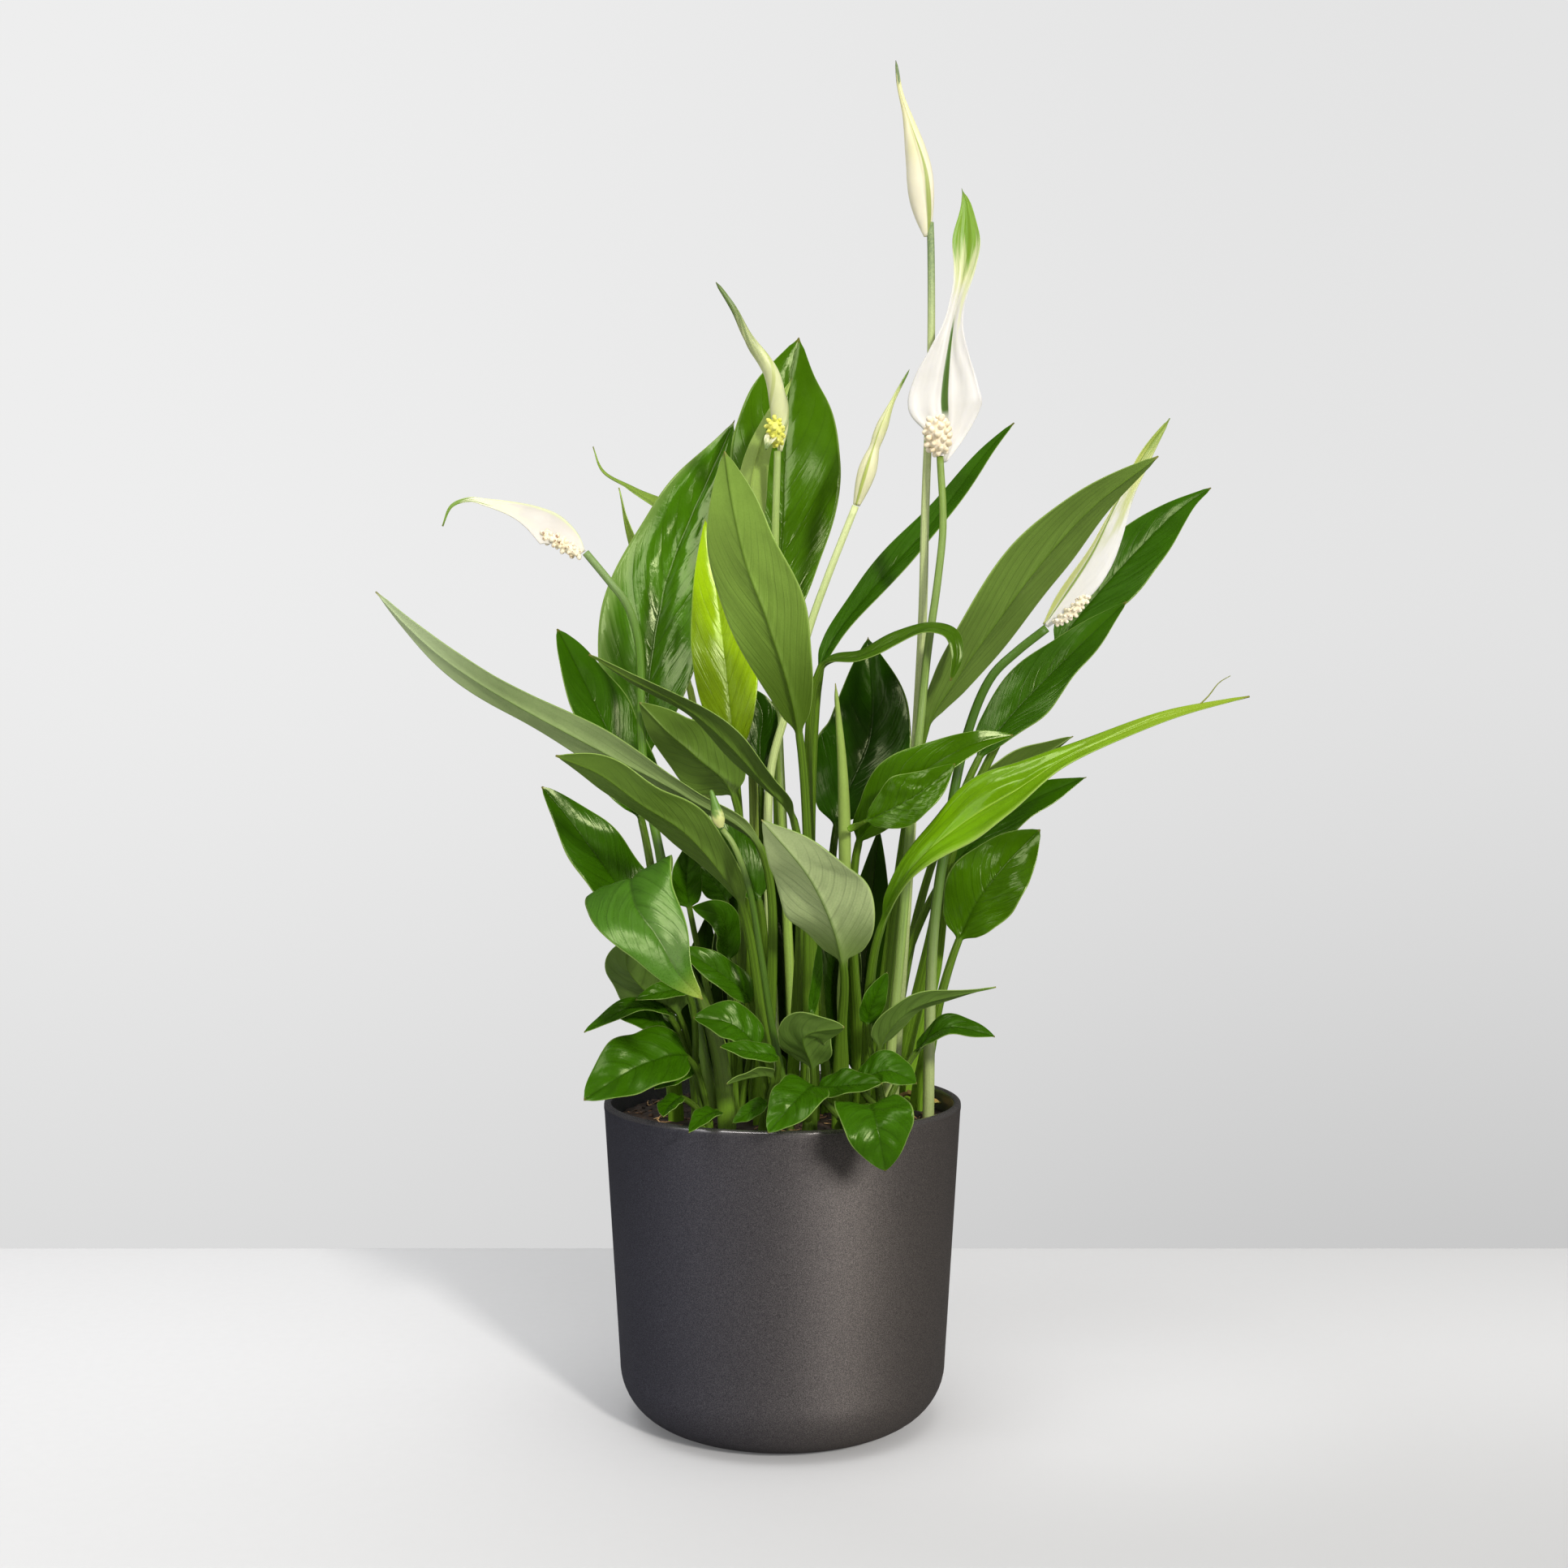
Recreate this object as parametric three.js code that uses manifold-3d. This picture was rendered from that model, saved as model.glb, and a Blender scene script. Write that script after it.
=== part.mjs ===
// A peace lily in a round tapered pot. Millimetres, +Z up, the pot standing on z = 0 and centred on the axis.
import * as THREE from "three";
import { mergeVertices } from "three/addons/utils/BufferGeometryUtils.js";
import Module from "manifold-3d";

const wasm = await Module();
wasm.setup();

// Pot
const POT_HEIGHT = 123.5;
const POT_RIM_RADIUS = 70;
const POT_SIDE_RADIUS = 63.6; // where the straight side meets the foot's curve
const FOOT_CURVE = 22;
const POT_WALL = 3;
const RIM_ROUND = 1.4;
const POT_SEGMENTS = 40;

// Soil and the stems that stand in it
const CLEARANCE = 0.3;
const SOIL_EDGE_HEIGHT = 115.5;
const SOIL_DOME = 2.5;
const SOIL_ROUGHNESS = 0.7;
const STEM_FOOT_HEIGHT = 108;
const STEM_COLLAR_HEIGHT = 120.5; // a stem is straight from its foot up to here
const HOLE_MARGIN = 0.55;
const HOLE_SIDES = 7;

// Foliage
const EDGE_HALF = 0.4; // half the thickness of a blade at its margin
const MIDRIB_HALF = 0.55;
const TIP_HALF_WIDTH = 0.6;
const STALK_RINGS = 4;
const BLADE_RINGS = 9;
const YOUNG_STALK_RINGS = 2;
const YOUNG_BLADE_RINGS = 6;
const YOUNG_STUB_RADIUS = 3.6;
const CURVE_STEPS = 30;

const MATERIALS = {
  pot: new THREE.MeshStandardMaterial({ color: 0x3b3a3d, roughness: 0.42, metalness: 0.35 }),
  soil: new THREE.MeshStandardMaterial({ color: 0x2b1f18, roughness: 0.95, metalness: 0 }),
  leaf: new THREE.MeshStandardMaterial({ color: 0x3f7a1e, roughness: 0.35, metalness: 0 }),
  young: new THREE.MeshStandardMaterial({ color: 0x5c9428, roughness: 0.35, metalness: 0 }),
  dry: new THREE.MeshStandardMaterial({ color: 0xa98a3c, roughness: 0.8, metalness: 0 }),
  scape: new THREE.MeshStandardMaterial({ color: 0x7ba23a, roughness: 0.45, metalness: 0 }),
  spathe: new THREE.MeshStandardMaterial({ color: 0xeef0d8, roughness: 0.5, metalness: 0 }),
  spadix: new THREE.MeshStandardMaterial({ color: 0xe9e2b0, roughness: 0.6, metalness: 0 }),
};

const group = new THREE.Group();
const holes = [];

function vector([x, y, z]) {
  return new THREE.Vector3(x, y, z);
}

function seeded(seed) {
  let state = seed;
  return () => {
    state = (state * 1664525 + 1013904223) % 4294967296;
    return state / 4294967296;
  };
}

function mix(a, b, f) {
  return a + (b - a) * f;
}

// A smooth line through the given points, read by the length along it.
function pathThrough(points) {
  const curve = new THREE.CatmullRomCurve3(points.map(vector), false, "centripetal");
  const steps = (points.length - 1) * CURVE_STEPS;
  const places = [];
  const lengths = [0];
  for (let i = 0; i <= steps; i++) {
    places.push(curve.getPoint(i / steps));
    if (i) lengths.push(lengths[i - 1] + places[i].distanceTo(places[i - 1]));
  }
  const total = lengths[steps];
  const at = (s) => {
    const wanted = Math.min(Math.max(s, 0), total);
    let i = 1;
    while (i < steps && lengths[i] < wanted) i++;
    const span = lengths[i] - lengths[i - 1];
    return places[i - 1].clone().lerp(places[i], (wanted - lengths[i - 1]) / span);
  };
  const along = (s) => {
    const reach = total * 0.01;
    return at(s + reach).sub(at(s - reach)).normalize();
  };
  return { total, at, along, mark: (k) => lengths[k * CURVE_STEPS] };
}

// Axes across and up at each station, carried along the line from the one where the face is given.
function framesAlong(path, stations, face, reference) {
  const frames = stations.map((s) => ({ place: path.at(s), along: path.along(s) }));
  const given = vector(face);
  frames[reference].across = given.clone().cross(frames[reference].along).normalize();
  const carry = (from, to) => {
    const across = frames[from].across.clone();
    across.addScaledVector(frames[to].along, -across.dot(frames[to].along));
    frames[to].across = across.normalize();
  };
  for (let i = reference + 1; i < frames.length; i++) carry(i - 1, i);
  for (let i = reference - 1; i >= 0; i--) carry(i + 1, i);
  frames.forEach((f) => {
    f.up = f.along.clone().cross(f.across).normalize();
  });
  return frames;
}

// A closed skin over rings of equal count. turned[j] sets which way the quads after vertex j are split.
function loft(rings, turned = []) {
  const n = rings[0].length;
  const vertices = rings.flat();
  const faces = [];
  for (let i = 0; i + 1 < rings.length; i++) {
    for (let j = 0; j < n; j++) {
      const a = i * n + j;
      const b = i * n + ((j + 1) % n);
      const c = b + n;
      const d = a + n;
      if (turned[j]) faces.push([a, b, d], [b, c, d]);
      else faces.push([a, b, c], [a, c, d]);
    }
  }
  const cap = (ring, first, outward) => {
    const push = (t) => faces.push(outward ? t : [t[0], t[2], t[1]]);
    if (n === 6 && turned.length) {
      [[0, 1, 5], [1, 4, 5], [1, 2, 4], [2, 3, 4]].forEach((t) => push(t.map((k) => first + k)));
      return;
    }
    const middle = new THREE.Vector3();
    ring.forEach((v) => middle.addScaledVector(v, 1 / n));
    vertices.push(middle);
    for (let j = 0; j < n; j++) push([vertices.length - 1, first + j, first + ((j + 1) % n)]);
  };
  cap(rings[0], 0, false);
  cap(rings[rings.length - 1], (rings.length - 1) * n, true);
  return outwardGeometry(vertices, faces);
}

function outwardGeometry(vertices, faces) {
  let volume = 0;
  for (const [a, b, c] of faces) {
    volume += vertices[a].dot(vertices[b].clone().cross(vertices[c]));
  }
  const index = faces.flatMap(([a, b, c]) => (volume < 0 ? [a, c, b] : [a, b, c]));
  const geometry = new THREE.BufferGeometry();
  geometry.setAttribute(
    "position",
    new THREE.Float32BufferAttribute(vertices.flatMap((v) => [v.x, v.y, v.z]), 3),
  );
  geometry.setIndex(index);
  return geometry;
}

function addNode(name, geometry, material) {
  geometry.computeVertexNormals();
  const mesh = new THREE.Mesh(geometry, material);
  mesh.name = name;
  group.add(mesh);
  return mesh;
}

function solidOf(geometry) {
  const bare = geometry.clone();
  bare.deleteAttribute("normal");
  bare.deleteAttribute("uv");
  const merged = mergeVertices(bare, 1e-4);
  return new wasm.Manifold(
    new wasm.Mesh({
      numProp: 3,
      vertProperties: merged.attributes.position.array,
      triVerts: new Uint32Array(merged.index.array),
    }),
  );
}

function geometryOf(solid) {
  const mesh = solid.getMesh();
  const positions = [];
  for (let i = 0; i < mesh.numVert; i++) {
    for (let k = 0; k < 3; k++) positions.push(mesh.vertProperties[i * mesh.numProp + k]);
  }
  const geometry = new THREE.BufferGeometry();
  geometry.setAttribute("position", new THREE.Float32BufferAttribute(positions, 3));
  geometry.setIndex([...mesh.triVerts]);
  return geometry;
}

const BLADE_TURNS = [false, true, false, false, true, false];

// The six points of a section: three above and three below, the middle pair on the midrib.
function section(frame, left, right, middle, edge, liftLeft, liftRight) {
  const point = (x, z) =>
    frame.place.clone().addScaledVector(frame.across, x).addScaledVector(frame.up, z);
  return [
    point(-left, liftLeft + edge),
    point(0, middle),
    point(right, liftRight + edge),
    point(right, liftRight - edge),
    point(0, -middle),
    point(-left, liftLeft - edge),
  ];
}

// How wide a blade is along its length, 0 at both ends and 1 at the widest.
function bladeShape(f, rise, fall) {
  const peak = rise / (rise + fall);
  const most = Math.pow(peak, rise) * Math.pow(1 - peak, fall);
  return (Math.pow(f, rise) * Math.pow(1 - f, fall)) / most;
}

// A stalk that runs on into a blade, as one skin.
function leafGeometry(row, young = false) {
  const { points, neck, face, width, halves } = row;
  const { rise = 0.72, fall = 1.05, fold = 0.22, wave = 0.1, twist = 0, phase = 0 } = row;
  const { stalk = young ? [1.5, 1.1] : [2.6, 1.5], waves = 2.2, droop = 0 } = row;
  const stalkRings = young ? YOUNG_STALK_RINGS : STALK_RINGS;
  const standardRings = young ? YOUNG_BLADE_RINGS : BLADE_RINGS;
  const bladeRings = halves ? halves.length - 1 : standardRings;
  const path = pathThrough(points);
  const start = path.mark(neck);
  const straight = young ? 0 : path.mark(1);
  const stations = [0];
  if (!young) stations.push(straight);
  for (let i = 1; i <= stalkRings; i++) stations.push(mix(straight, start, i / stalkRings));
  const first = stations.length;
  for (let i = 1; i <= bladeRings; i++) stations.push(mix(start, path.total, i / bladeRings));
  const reference = first + Math.floor(bladeRings * 0.4);
  const frames = framesAlong(path, stations, face, reference);
  const rings = frames.map((frame, i) => {
    if (i < first) {
      const radius = mix(stalk[0], stalk[1], stations[i] / start);
      return section(frame, radius * 0.866, radius * 0.866, radius, radius / 2, 0, 0);
    }
    const f = (i - first + 1) / bladeRings;
    const full = halves ? valueAlong(halves, Math.min(f, 1)) : (width / 2) * bladeShape(f, rise, fall);
    const half = Math.max(Math.hypot(stalk[1] * 0.866 * (1 - f), full), TIP_HALF_WIDTH);
    const turn = twist * (f - 0.4);
    frame.across.applyAxisAngle(frame.along, turn);
    frame.up.applyAxisAngle(frame.along, turn);
    const middle = mix(stalk[1], MIDRIB_HALF, Math.min(1, Math.sqrt(f) * 1.2));
    const edge = mix(stalk[1] / 2, EDGE_HALF, Math.min(1, f * 6));
    const swing = Math.PI * 2 * waves * f;
    const liftLeft = half * (fold + wave * Math.sin(swing + phase) - droop * f);
    const liftRight = half * (fold + wave * Math.sin(swing + phase + 2) - droop * f);
    return section(frame, half, half, middle, edge, liftLeft, liftRight);
  });
  return loft(rings, BLADE_TURNS);
}

function rooted(x, y, rest) {
  return [[x, y, STEM_FOOT_HEIGHT], [x, y, STEM_COLLAR_HEIGHT], ...rest];
}

function addLeaf(row) {
  const [x, y] = row.root;
  const points = rooted(x, y, row.path);
  const { stalk = [2.6, 1.5] } = row;
  holes.push([x, y, stalk[0]]);
  const geometry = leafGeometry({ ...row, points, neck: 2 + (row.neck ?? 0) });
  addNode("leaf_" + row.name, geometry, MATERIALS[row.material ?? "leaf"]);
}

// Young leaves that share one short stub in the soil.
function addYoungLeaves(name, root, rows, material = "young") {
  const [x, y] = root;
  const stub = new THREE.CylinderGeometry(YOUNG_STUB_RADIUS - 0.6, YOUNG_STUB_RADIUS, 1, 7);
  stub.rotateX(Math.PI / 2);
  stub.scale(1, 1, STEM_COLLAR_HEIGHT - STEM_FOOT_HEIGHT);
  stub.translate(x, y, (STEM_COLLAR_HEIGHT + STEM_FOOT_HEIGHT) / 2);
  let solid = solidOf(stub);
  rows.forEach((row, i) => {
    const angle = (i / rows.length) * Math.PI * 2 + 0.4;
    const across = [x + 1.3 * Math.cos(angle), y + 1.3 * Math.sin(angle)];
    const start = [...across, STEM_FOOT_HEIGHT + 5];
    const collar = [...across, STEM_COLLAR_HEIGHT];
    const points = [start, collar, ...row.path];
    const leaf = leafGeometry({ ...row, points, neck: 2 + (row.neck ?? 0) }, true);
    solid = solid.add(solidOf(leaf));
  });
  holes.push([x, y, YOUNG_STUB_RADIUS]);
  addNode(name, geometryOf(solid), MATERIALS[material]);
}

// A round stem of changing radius.
function stemGeometry(points, from, to, count, sides = 6) {
  const path = pathThrough(points);
  const straight = path.mark(1);
  const stations = [0];
  for (let i = 0; i <= count; i++) stations.push(mix(straight, path.total, i / count));
  const frames = framesAlong(path, stations, [0, -1, 0.1], 1);
  const rings = frames.map((frame, i) => {
    const radius = mix(from, to, stations[i] / path.total);
    return Array.from({ length: sides }, (_, j) => {
      const angle = (j / sides) * Math.PI * 2;
      return frame.place
        .clone()
        .addScaledVector(frame.across, radius * Math.cos(angle))
        .addScaledVector(frame.up, radius * Math.sin(angle));
    });
  });
  return loft(rings);
}

function valueAlong(values, f) {
  const place = f * (values.length - 1);
  const i = Math.min(Math.floor(place), values.length - 2);
  return mix(values[i], values[i + 1], place - i);
}

// A spathe still rolled round itself: a spiral section whose free edge runs up the outside.
function rolledGeometry({ points, radii, face = [0, -1, 0.1], seam = 0, turns = 0, sides = 10 }) {
  const path = pathThrough(points);
  const count = radii.length - 1;
  const stations = radii.map((_, i) => (path.total * i) / count);
  const frames = framesAlong(path, stations, face, 0);
  const overlap = 0.16;
  const rings = frames.map((frame, i) => {
    return Array.from({ length: sides }, (_, j) => {
      const angle = seam + (turns * i) / count + (j / sides) * Math.PI * 2;
      const radius = radii[i] * (1 - (overlap * j) / sides);
      return frame.place
        .clone()
        .addScaledVector(frame.across, radius * Math.cos(angle))
        .addScaledVector(frame.up, radius * Math.sin(angle));
    });
  });
  return loft(rings);
}

// An open spathe: a thin blade given by its half widths and how far its margins rise.
function openGeometry({ points, halves, lifts, face, twist = 0, skew = 1 }) {
  const path = pathThrough(points);
  const count = halves.length - 1;
  const stations = halves.map((_, i) => (path.total * i) / count);
  const frames = framesAlong(path, stations, face, Math.floor(count / 2));
  const rings = frames.map((frame, i) => {
    const f = i / count;
    const turn = twist * (f - 0.5);
    frame.across.applyAxisAngle(frame.along, turn);
    frame.up.applyAxisAngle(frame.along, turn);
    const lift = halves[i] * lifts[i];
    return section(frame, halves[i], halves[i] * skew, MIDRIB_HALF, EDGE_HALF, lift, lift * skew);
  });
  return loft(rings, BLADE_TURNS);
}

// A spadix: a rounded rod whose surface rises to a knob at every second point.
function spadixGeometry({ points, radius, rings = 9, sides = 12 }) {
  const path = pathThrough(points);
  const stations = Array.from({ length: rings }, (_, i) => (path.total * i) / (rings - 1));
  const frames = framesAlong(path, stations, [0.3, -1, 0.2], 0);
  const knob = 0.13;
  return loft(
    frames.map((frame, i) => {
      const f = i / (rings - 1);
      const girth = radius * Math.sqrt(Math.max(0.1, 1 - Math.pow(2 * f - 1, 4) * 0.92));
      return Array.from({ length: sides }, (_, j) => {
        const angle = (j / sides) * Math.PI * 2;
        const r = girth * ((i + j) % 2 ? 1 + knob : 1 - knob);
        return frame.place
          .clone()
          .addScaledVector(frame.across, r * Math.cos(angle))
          .addScaledVector(frame.up, r * Math.sin(angle));
      });
    }),
  );
}

function addScape(name, root, path, radii, rings = 6) {
  const [x, y] = root;
  holes.push([x, y, radii[0]]);
  addNode(name, stemGeometry(rooted(x, y, path), radii[0], radii[1], rings), MATERIALS.scape);
}

// ---- Pot ----

function potProfile() {
  const points = [];
  const side = (z) => mix(POT_SIDE_RADIUS, POT_RIM_RADIUS, (z - FOOT_CURVE) / (POT_HEIGHT - FOOT_CURVE));
  const lift = POT_WALL;
  points.push([0, 0]);
  const arcSteps = 6;
  for (let i = 0; i <= arcSteps; i++) {
    const angle = (i / arcSteps) * (Math.PI / 2);
    const r = POT_SIDE_RADIUS - FOOT_CURVE + FOOT_CURVE * Math.sin(angle);
    points.push([r, FOOT_CURVE * (1 - Math.cos(angle))]);
  }
  points.push([side(POT_HEIGHT - RIM_ROUND), POT_HEIGHT - RIM_ROUND]);
  points.push([POT_RIM_RADIUS - 0.45, POT_HEIGHT - 0.4]);
  points.push([POT_RIM_RADIUS - RIM_ROUND, POT_HEIGHT]);
  points.push([POT_RIM_RADIUS - POT_WALL + 0.5, POT_HEIGHT - 0.4]);
  points.push([POT_RIM_RADIUS - POT_WALL, POT_HEIGHT - RIM_ROUND]);
  const inner = FOOT_CURVE - POT_WALL;
  const innerArc = 4;
  for (let i = innerArc; i >= 0; i--) {
    const angle = (i / innerArc) * (Math.PI / 2);
    const r = POT_SIDE_RADIUS - FOOT_CURVE + inner * Math.sin(angle);
    points.push([r, lift + inner * (1 - Math.cos(angle))]);
  }
  points.push([0, lift]);
  return points.map(([r, z]) => new THREE.Vector2(r, z));
}

const potGeometry = new THREE.LatheGeometry(potProfile(), POT_SEGMENTS);
potGeometry.rotateX(Math.PI / 2);
addNode("pot", potGeometry, MATERIALS.pot);

// ---- Large leaves ----
// path: any points of the stalk, then the neck (path[neck], the first unless given) and the blade to its tip.
// face: where the upper side looks at the blade's middle.

const LEAVES = [
  {
    name: "back_centre",
    root: [2, 30],
    path: [[-3, 33, 300], [0, 46, 356], [1.3, 56, 390], [2.7, 62, 416], [7, 66, 439]],
    face: [0.1, -1, 0.3],
    halves: [1.6, 8, 13, 17, 20.5, 22.5, 22.8, 21, 15, 6, 0.6],
    fold: 0.1,
  },
  {
    name: "back_left",
    root: [-32, 24],
    path: [[-56, 40, 258], [-51, 62, 328], [-21, 78, 406]],
    face: [-0.2, -1, 0.3],
    width: 46,
    phase: 1,
  },
  {
    name: "centre_front",
    root: [11, -17],
    path: [[6.4, -34, 265], [-5, -43, 306], [-13, -47, 327], [-18.4, -51, 350], [-21, -55, 368]],
    face: [0.3, 1, 0.2],
    halves: [1.5, 6.5, 10.5, 13, 14.5, 15.3, 15, 13, 10, 6, 0.6],
    fold: 0.1,
  },
  {
    name: "bright",
    root: [-10, 8],
    path: [[-19, 2, 258], [-24.5, 6, 312], [-31, 10, 353]],
    face: [-0.1, -1, 0.2],
    width: 26,
  },
  {
    name: "left_dark",
    root: [-43, 12],
    path: [[-57, 20, 232], [-74, 26, 274], [-84, 30, 294], [-93, 34, 311]],
    face: [0.5, -0.8, 0.4],
    halves: [1.5, 8, 11.5, 13, 13, 12.6, 11.4, 9.5, 6, 0.6],
  },
  {
    name: "long_left",
    root: [-8, -24],
    path: [
      [-8, -40, 223],
      [-34, -44, 242],
      [-64, -45, 258],
      [-94, -45, 273],
      [-112, -45, 281],
      [-127, -45, 290],
      [-139, -45, 304],
      [-150, -45, 318],
    ],
    face: [0.4, 0.65, 0.6],
    halves: [1.4, 3.4, 3.6, 4.2, 6.4, 7.6, 6, 4.6, 5.2, 5.5, 4.3, 2.7, 0.6],
    fold: 0.1,
  },
  {
    name: "left_mid",
    root: [-4, -33],
    path: [
      [-14.6, -47, 202],
      [-22, -53, 215],
      [-35, -61, 230],
      [-50, -69, 240],
      [-65, -76, 251],
      [-79, -82, 257],
    ],
    face: [0.3, 0.6, 0.7],
    halves: [1.5, 6, 9, 10.5, 11.4, 11.6, 11, 9.6, 6.4, 0.6],
  },
  {
    name: "centre_left",
    root: [4, -6],
    path: [[4.4, -16, 233], [-6, -18, 247], [-32, -24, 273], [-59.5, -29, 288], [-73, -30, 296]],
    face: [0.3, 0.4, 0.85],
    halves: [1.5, 5.5, 7.6, 8.2, 7.6, 6.4, 5, 3.6, 2.2, 0.6],
    fold: 0.1,
  },
  {
    name: "behind_left",
    root: [-20, -1],
    path: [[-18.8, -2, 242], [-34, 1, 258], [-45.6, -1, 268], [-56, -4, 279]],
    face: [0.3, 0.8, 0.5],
    halves: [1.4, 5, 7.6, 9, 9.2, 8.4, 6.8, 4.4, 0.6],
  },
  {
    name: "left_low",
    root: [-41, -15],
    path: [[-51, -15, 192], [-62, -20, 207], [-71, -25, 220], [-81, -29, 234], [-90.5, -32, 246]],
    face: [0.3, -0.8, 0.5],
    halves: [1.5, 8.5, 12, 13, 13, 12, 10.4, 8, 4.6, 0.6],
  },
  {
    name: "front_droop",
    root: [-21, -29],
    path: [
      [-25, -31, 150],
      [-37, -38, 182],
      [-46, -46, 197],
      [-54, -62, 213],
      [-51, -80, 204],
      [-42, -91, 193],
      [-35, -97, 182],
      [-27, -100, 174],
    ],
    neck: 2,
    face: [-0.4, -0.55, 0.75],
    halves: [1.5, 8, 15, 17.6, 17, 15, 12.2, 8.8, 4.6, 0.6],
    fold: 0.12,
  },
  {
    name: "front_under",
    root: [22, -30],
    path: [[22, -38, 152], [22, -56, 182], [11, -80, 212], [-7, -98, 235]],
    neck: 1,
    face: [0.3, 0.8, 0.5],
    width: 34,
    fold: 0.15,
  },
  {
    name: "right_bright",
    root: [31, -21],
    path: [
      [33, -32, 172],
      [36.5, -40, 193],
      [48, -47, 216.5],
      [71, -56, 236.4],
      [85, -60, 245],
      [101, -64, 255.7],
      [134, -70, 270],
      [165, -74, 278],
    ],
    neck: 1,
    face: [-0.4, -0.6, 0.7],
    halves: [1.5, 5, 8.4, 10.8, 13, 11.8, 9, 6.4, 4.6, 3.3, 2.3, 1.4, 0.6],
  },
  {
    name: "right_low",
    root: [54, 7],
    path: [[63, 8, 162], [70.7, 14, 184], [78.6, 15, 200], [90, 17, 214.6], [104, 18, 228.6]],
    neck: 1,
    face: [-0.3, -0.9, 0.3],
    halves: [1.5, 9, 13, 15, 15.4, 14.6, 12.8, 9.8, 5.6, 0.6],
    fold: 0.12,
  },
  {
    name: "right_dark",
    root: [46, 20],
    path: [
      [61, 24, 186],
      [68, 26, 226],
      [80, 27, 257],
      [90, 30, 270.6],
      [107.4, 34, 289],
      [143.4, 42, 323],
    ],
    neck: 2,
    face: [-0.4, -0.8, 0.4],
    halves: [1.5, 7.5, 11, 12.8, 12.8, 11.6, 9.6, 6.8, 3.6, 0.6],
  },
  {
    name: "right_under",
    root: [36, -5],
    path: [
      [55.6, -8, 268],
      [66, -12, 286.6],
      [81, -18, 308],
      [99, -24, 332],
      [117, -29, 351.6],
      [141, -34, 370],
    ],
    face: [-0.3, 0.8, 0.5],
    halves: [1.5, 6.5, 10, 12.4, 13.4, 13, 11.4, 8.6, 4.8, 0.6],
  },
  {
    name: "right_far",
    root: [50, 32],
    path: [
      [62, 34, 169],
      [69, 38, 216],
      [89, 46, 262],
      [115, 54, 304],
      [133.6, 60, 327],
      [152.5, 68, 347],
      [173.5, 76, 367],
      [188, 82, 377],
    ],
    neck: 3,
    face: [-0.3, -0.95, 0.2],
    halves: [1.5, 7, 11, 13.4, 13.8, 12.6, 10, 6.4, 3, 0.6],
  },
  {
    name: "centre_narrow",
    root: [10, 13],
    path: [[15, 14, 291], [20, 16, 304.5], [37, 26, 327], [62, 36, 355], [86, 48, 386.5], [98, 54, 400]],
    face: [-0.5, -0.8, 0.4],
    halves: [1.4, 4, 5.6, 6.8, 7.2, 6.8, 5.8, 4.4, 2.6, 0.6],
  },
  {
    name: "curling",
    root: [17, 1],
    path: [
      [15, -8, 292.5],
      [30, -14, 296.5],
      [44, -18, 302.5],
      [56, -22, 306.5],
      [64, -26, 304],
      [66, -28, 296],
      [63.5, -29, 286],
    ],
    face: [-0.2, -0.5, 0.85],
    halves: [1.3, 3.6, 4.8, 5.2, 5, 4.6, 4, 3.2, 2.2, 0.6],
    fold: 0.1,
  },
  {
    name: "dark_back",
    root: [20, 23],
    path: [[22, 30, 229], [37, 44, 269], [36, 50, 309]],
    face: [-0.2, -0.9, 0.3],
    width: 39,
  },
  {
    name: "folded",
    root: [30, -11],
    path: [
      [29, -22, 224],
      [37, -27, 236],
      [47.6, -32, 247],
      [59.6, -35, 256],
      [73.4, -34, 262.5],
      [87, -30, 265.4],
    ],
    face: [-0.3, -0.85, 0.4],
    halves: [1.4, 6.5, 10, 11.6, 11, 9, 6.8, 4.6, 2.8, 0.6],
    fold: 0.4,
  },
  {
    name: "rear_right",
    root: [43, 40],
    path: [[70, 56, 228], [98, 68, 250], [127, 80, 268]],
    face: [-0.3, 0.7, 0.6],
    width: 22,
  },
  {
    name: "rear_low",
    root: [34, 27],
    path: [[66, 42, 206], [98, 47, 236], [128, 50, 250]],
    face: [-0.3, -0.8, 0.5],
    width: 20,
  },
  {
    name: "rear_left",
    root: [-10, 36],
    path: [[-21, 74, 320], [-49, 100, 366], [-70, 114, 382], [-83, 120, 391], [-87.5, 124, 403]],
    face: [-0.35, 0.25, 0.9],
    width: 20,
  },
  {
    name: "rear_behind",
    root: [-22, 36],
    path: [[-40, 70, 288], [-58.7, 84, 335], [-68.5, 94, 361], [-73.7, 100, 380]],
    face: [-0.9, -0.3, 0.3],
    width: 20,
    fall: 1.7,
  },
  {
    name: "pale_narrow",
    root: [-7, 19],
    path: [[-14.5, 18, 321], [-14, 20, 354], [-11, 22, 377.5], [-4, 24, 397], [4, 26, 412.6]],
    face: [0.2, 0.9, 0.2],
    width: 13,
    stalk: [2.4, 1.2],
  },
  {
    name: "inner_dark",
    root: [-6, -4],
    path: [[-8.5, 7, 247], [-9, 10, 264], [-8, 11, 275], [-12.5, 11, 285]],
    face: [0.2, -0.9, 0.2],
    width: 13,
    fall: 0.7,
    stalk: [2.2, 1.2],
  },
  {
    name: "inner_left",
    root: [-10, -12],
    path: [[-9, -22, 202], [-23, -28, 224], [-40, -34, 244]],
    face: [0.3, -0.8, 0.5],
    width: 22,
  },
  {
    name: "dry",
    root: [46, 11],
    path: [[50, 15, 122.5], [56, 18, 119.4], [64, 17, 118.6]],
    face: [0, -0.2, 1],
    width: 9,
    material: "dry",
    stalk: [1.2, 0.8],
  },
];
LEAVES.forEach(addLeaf);

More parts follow.
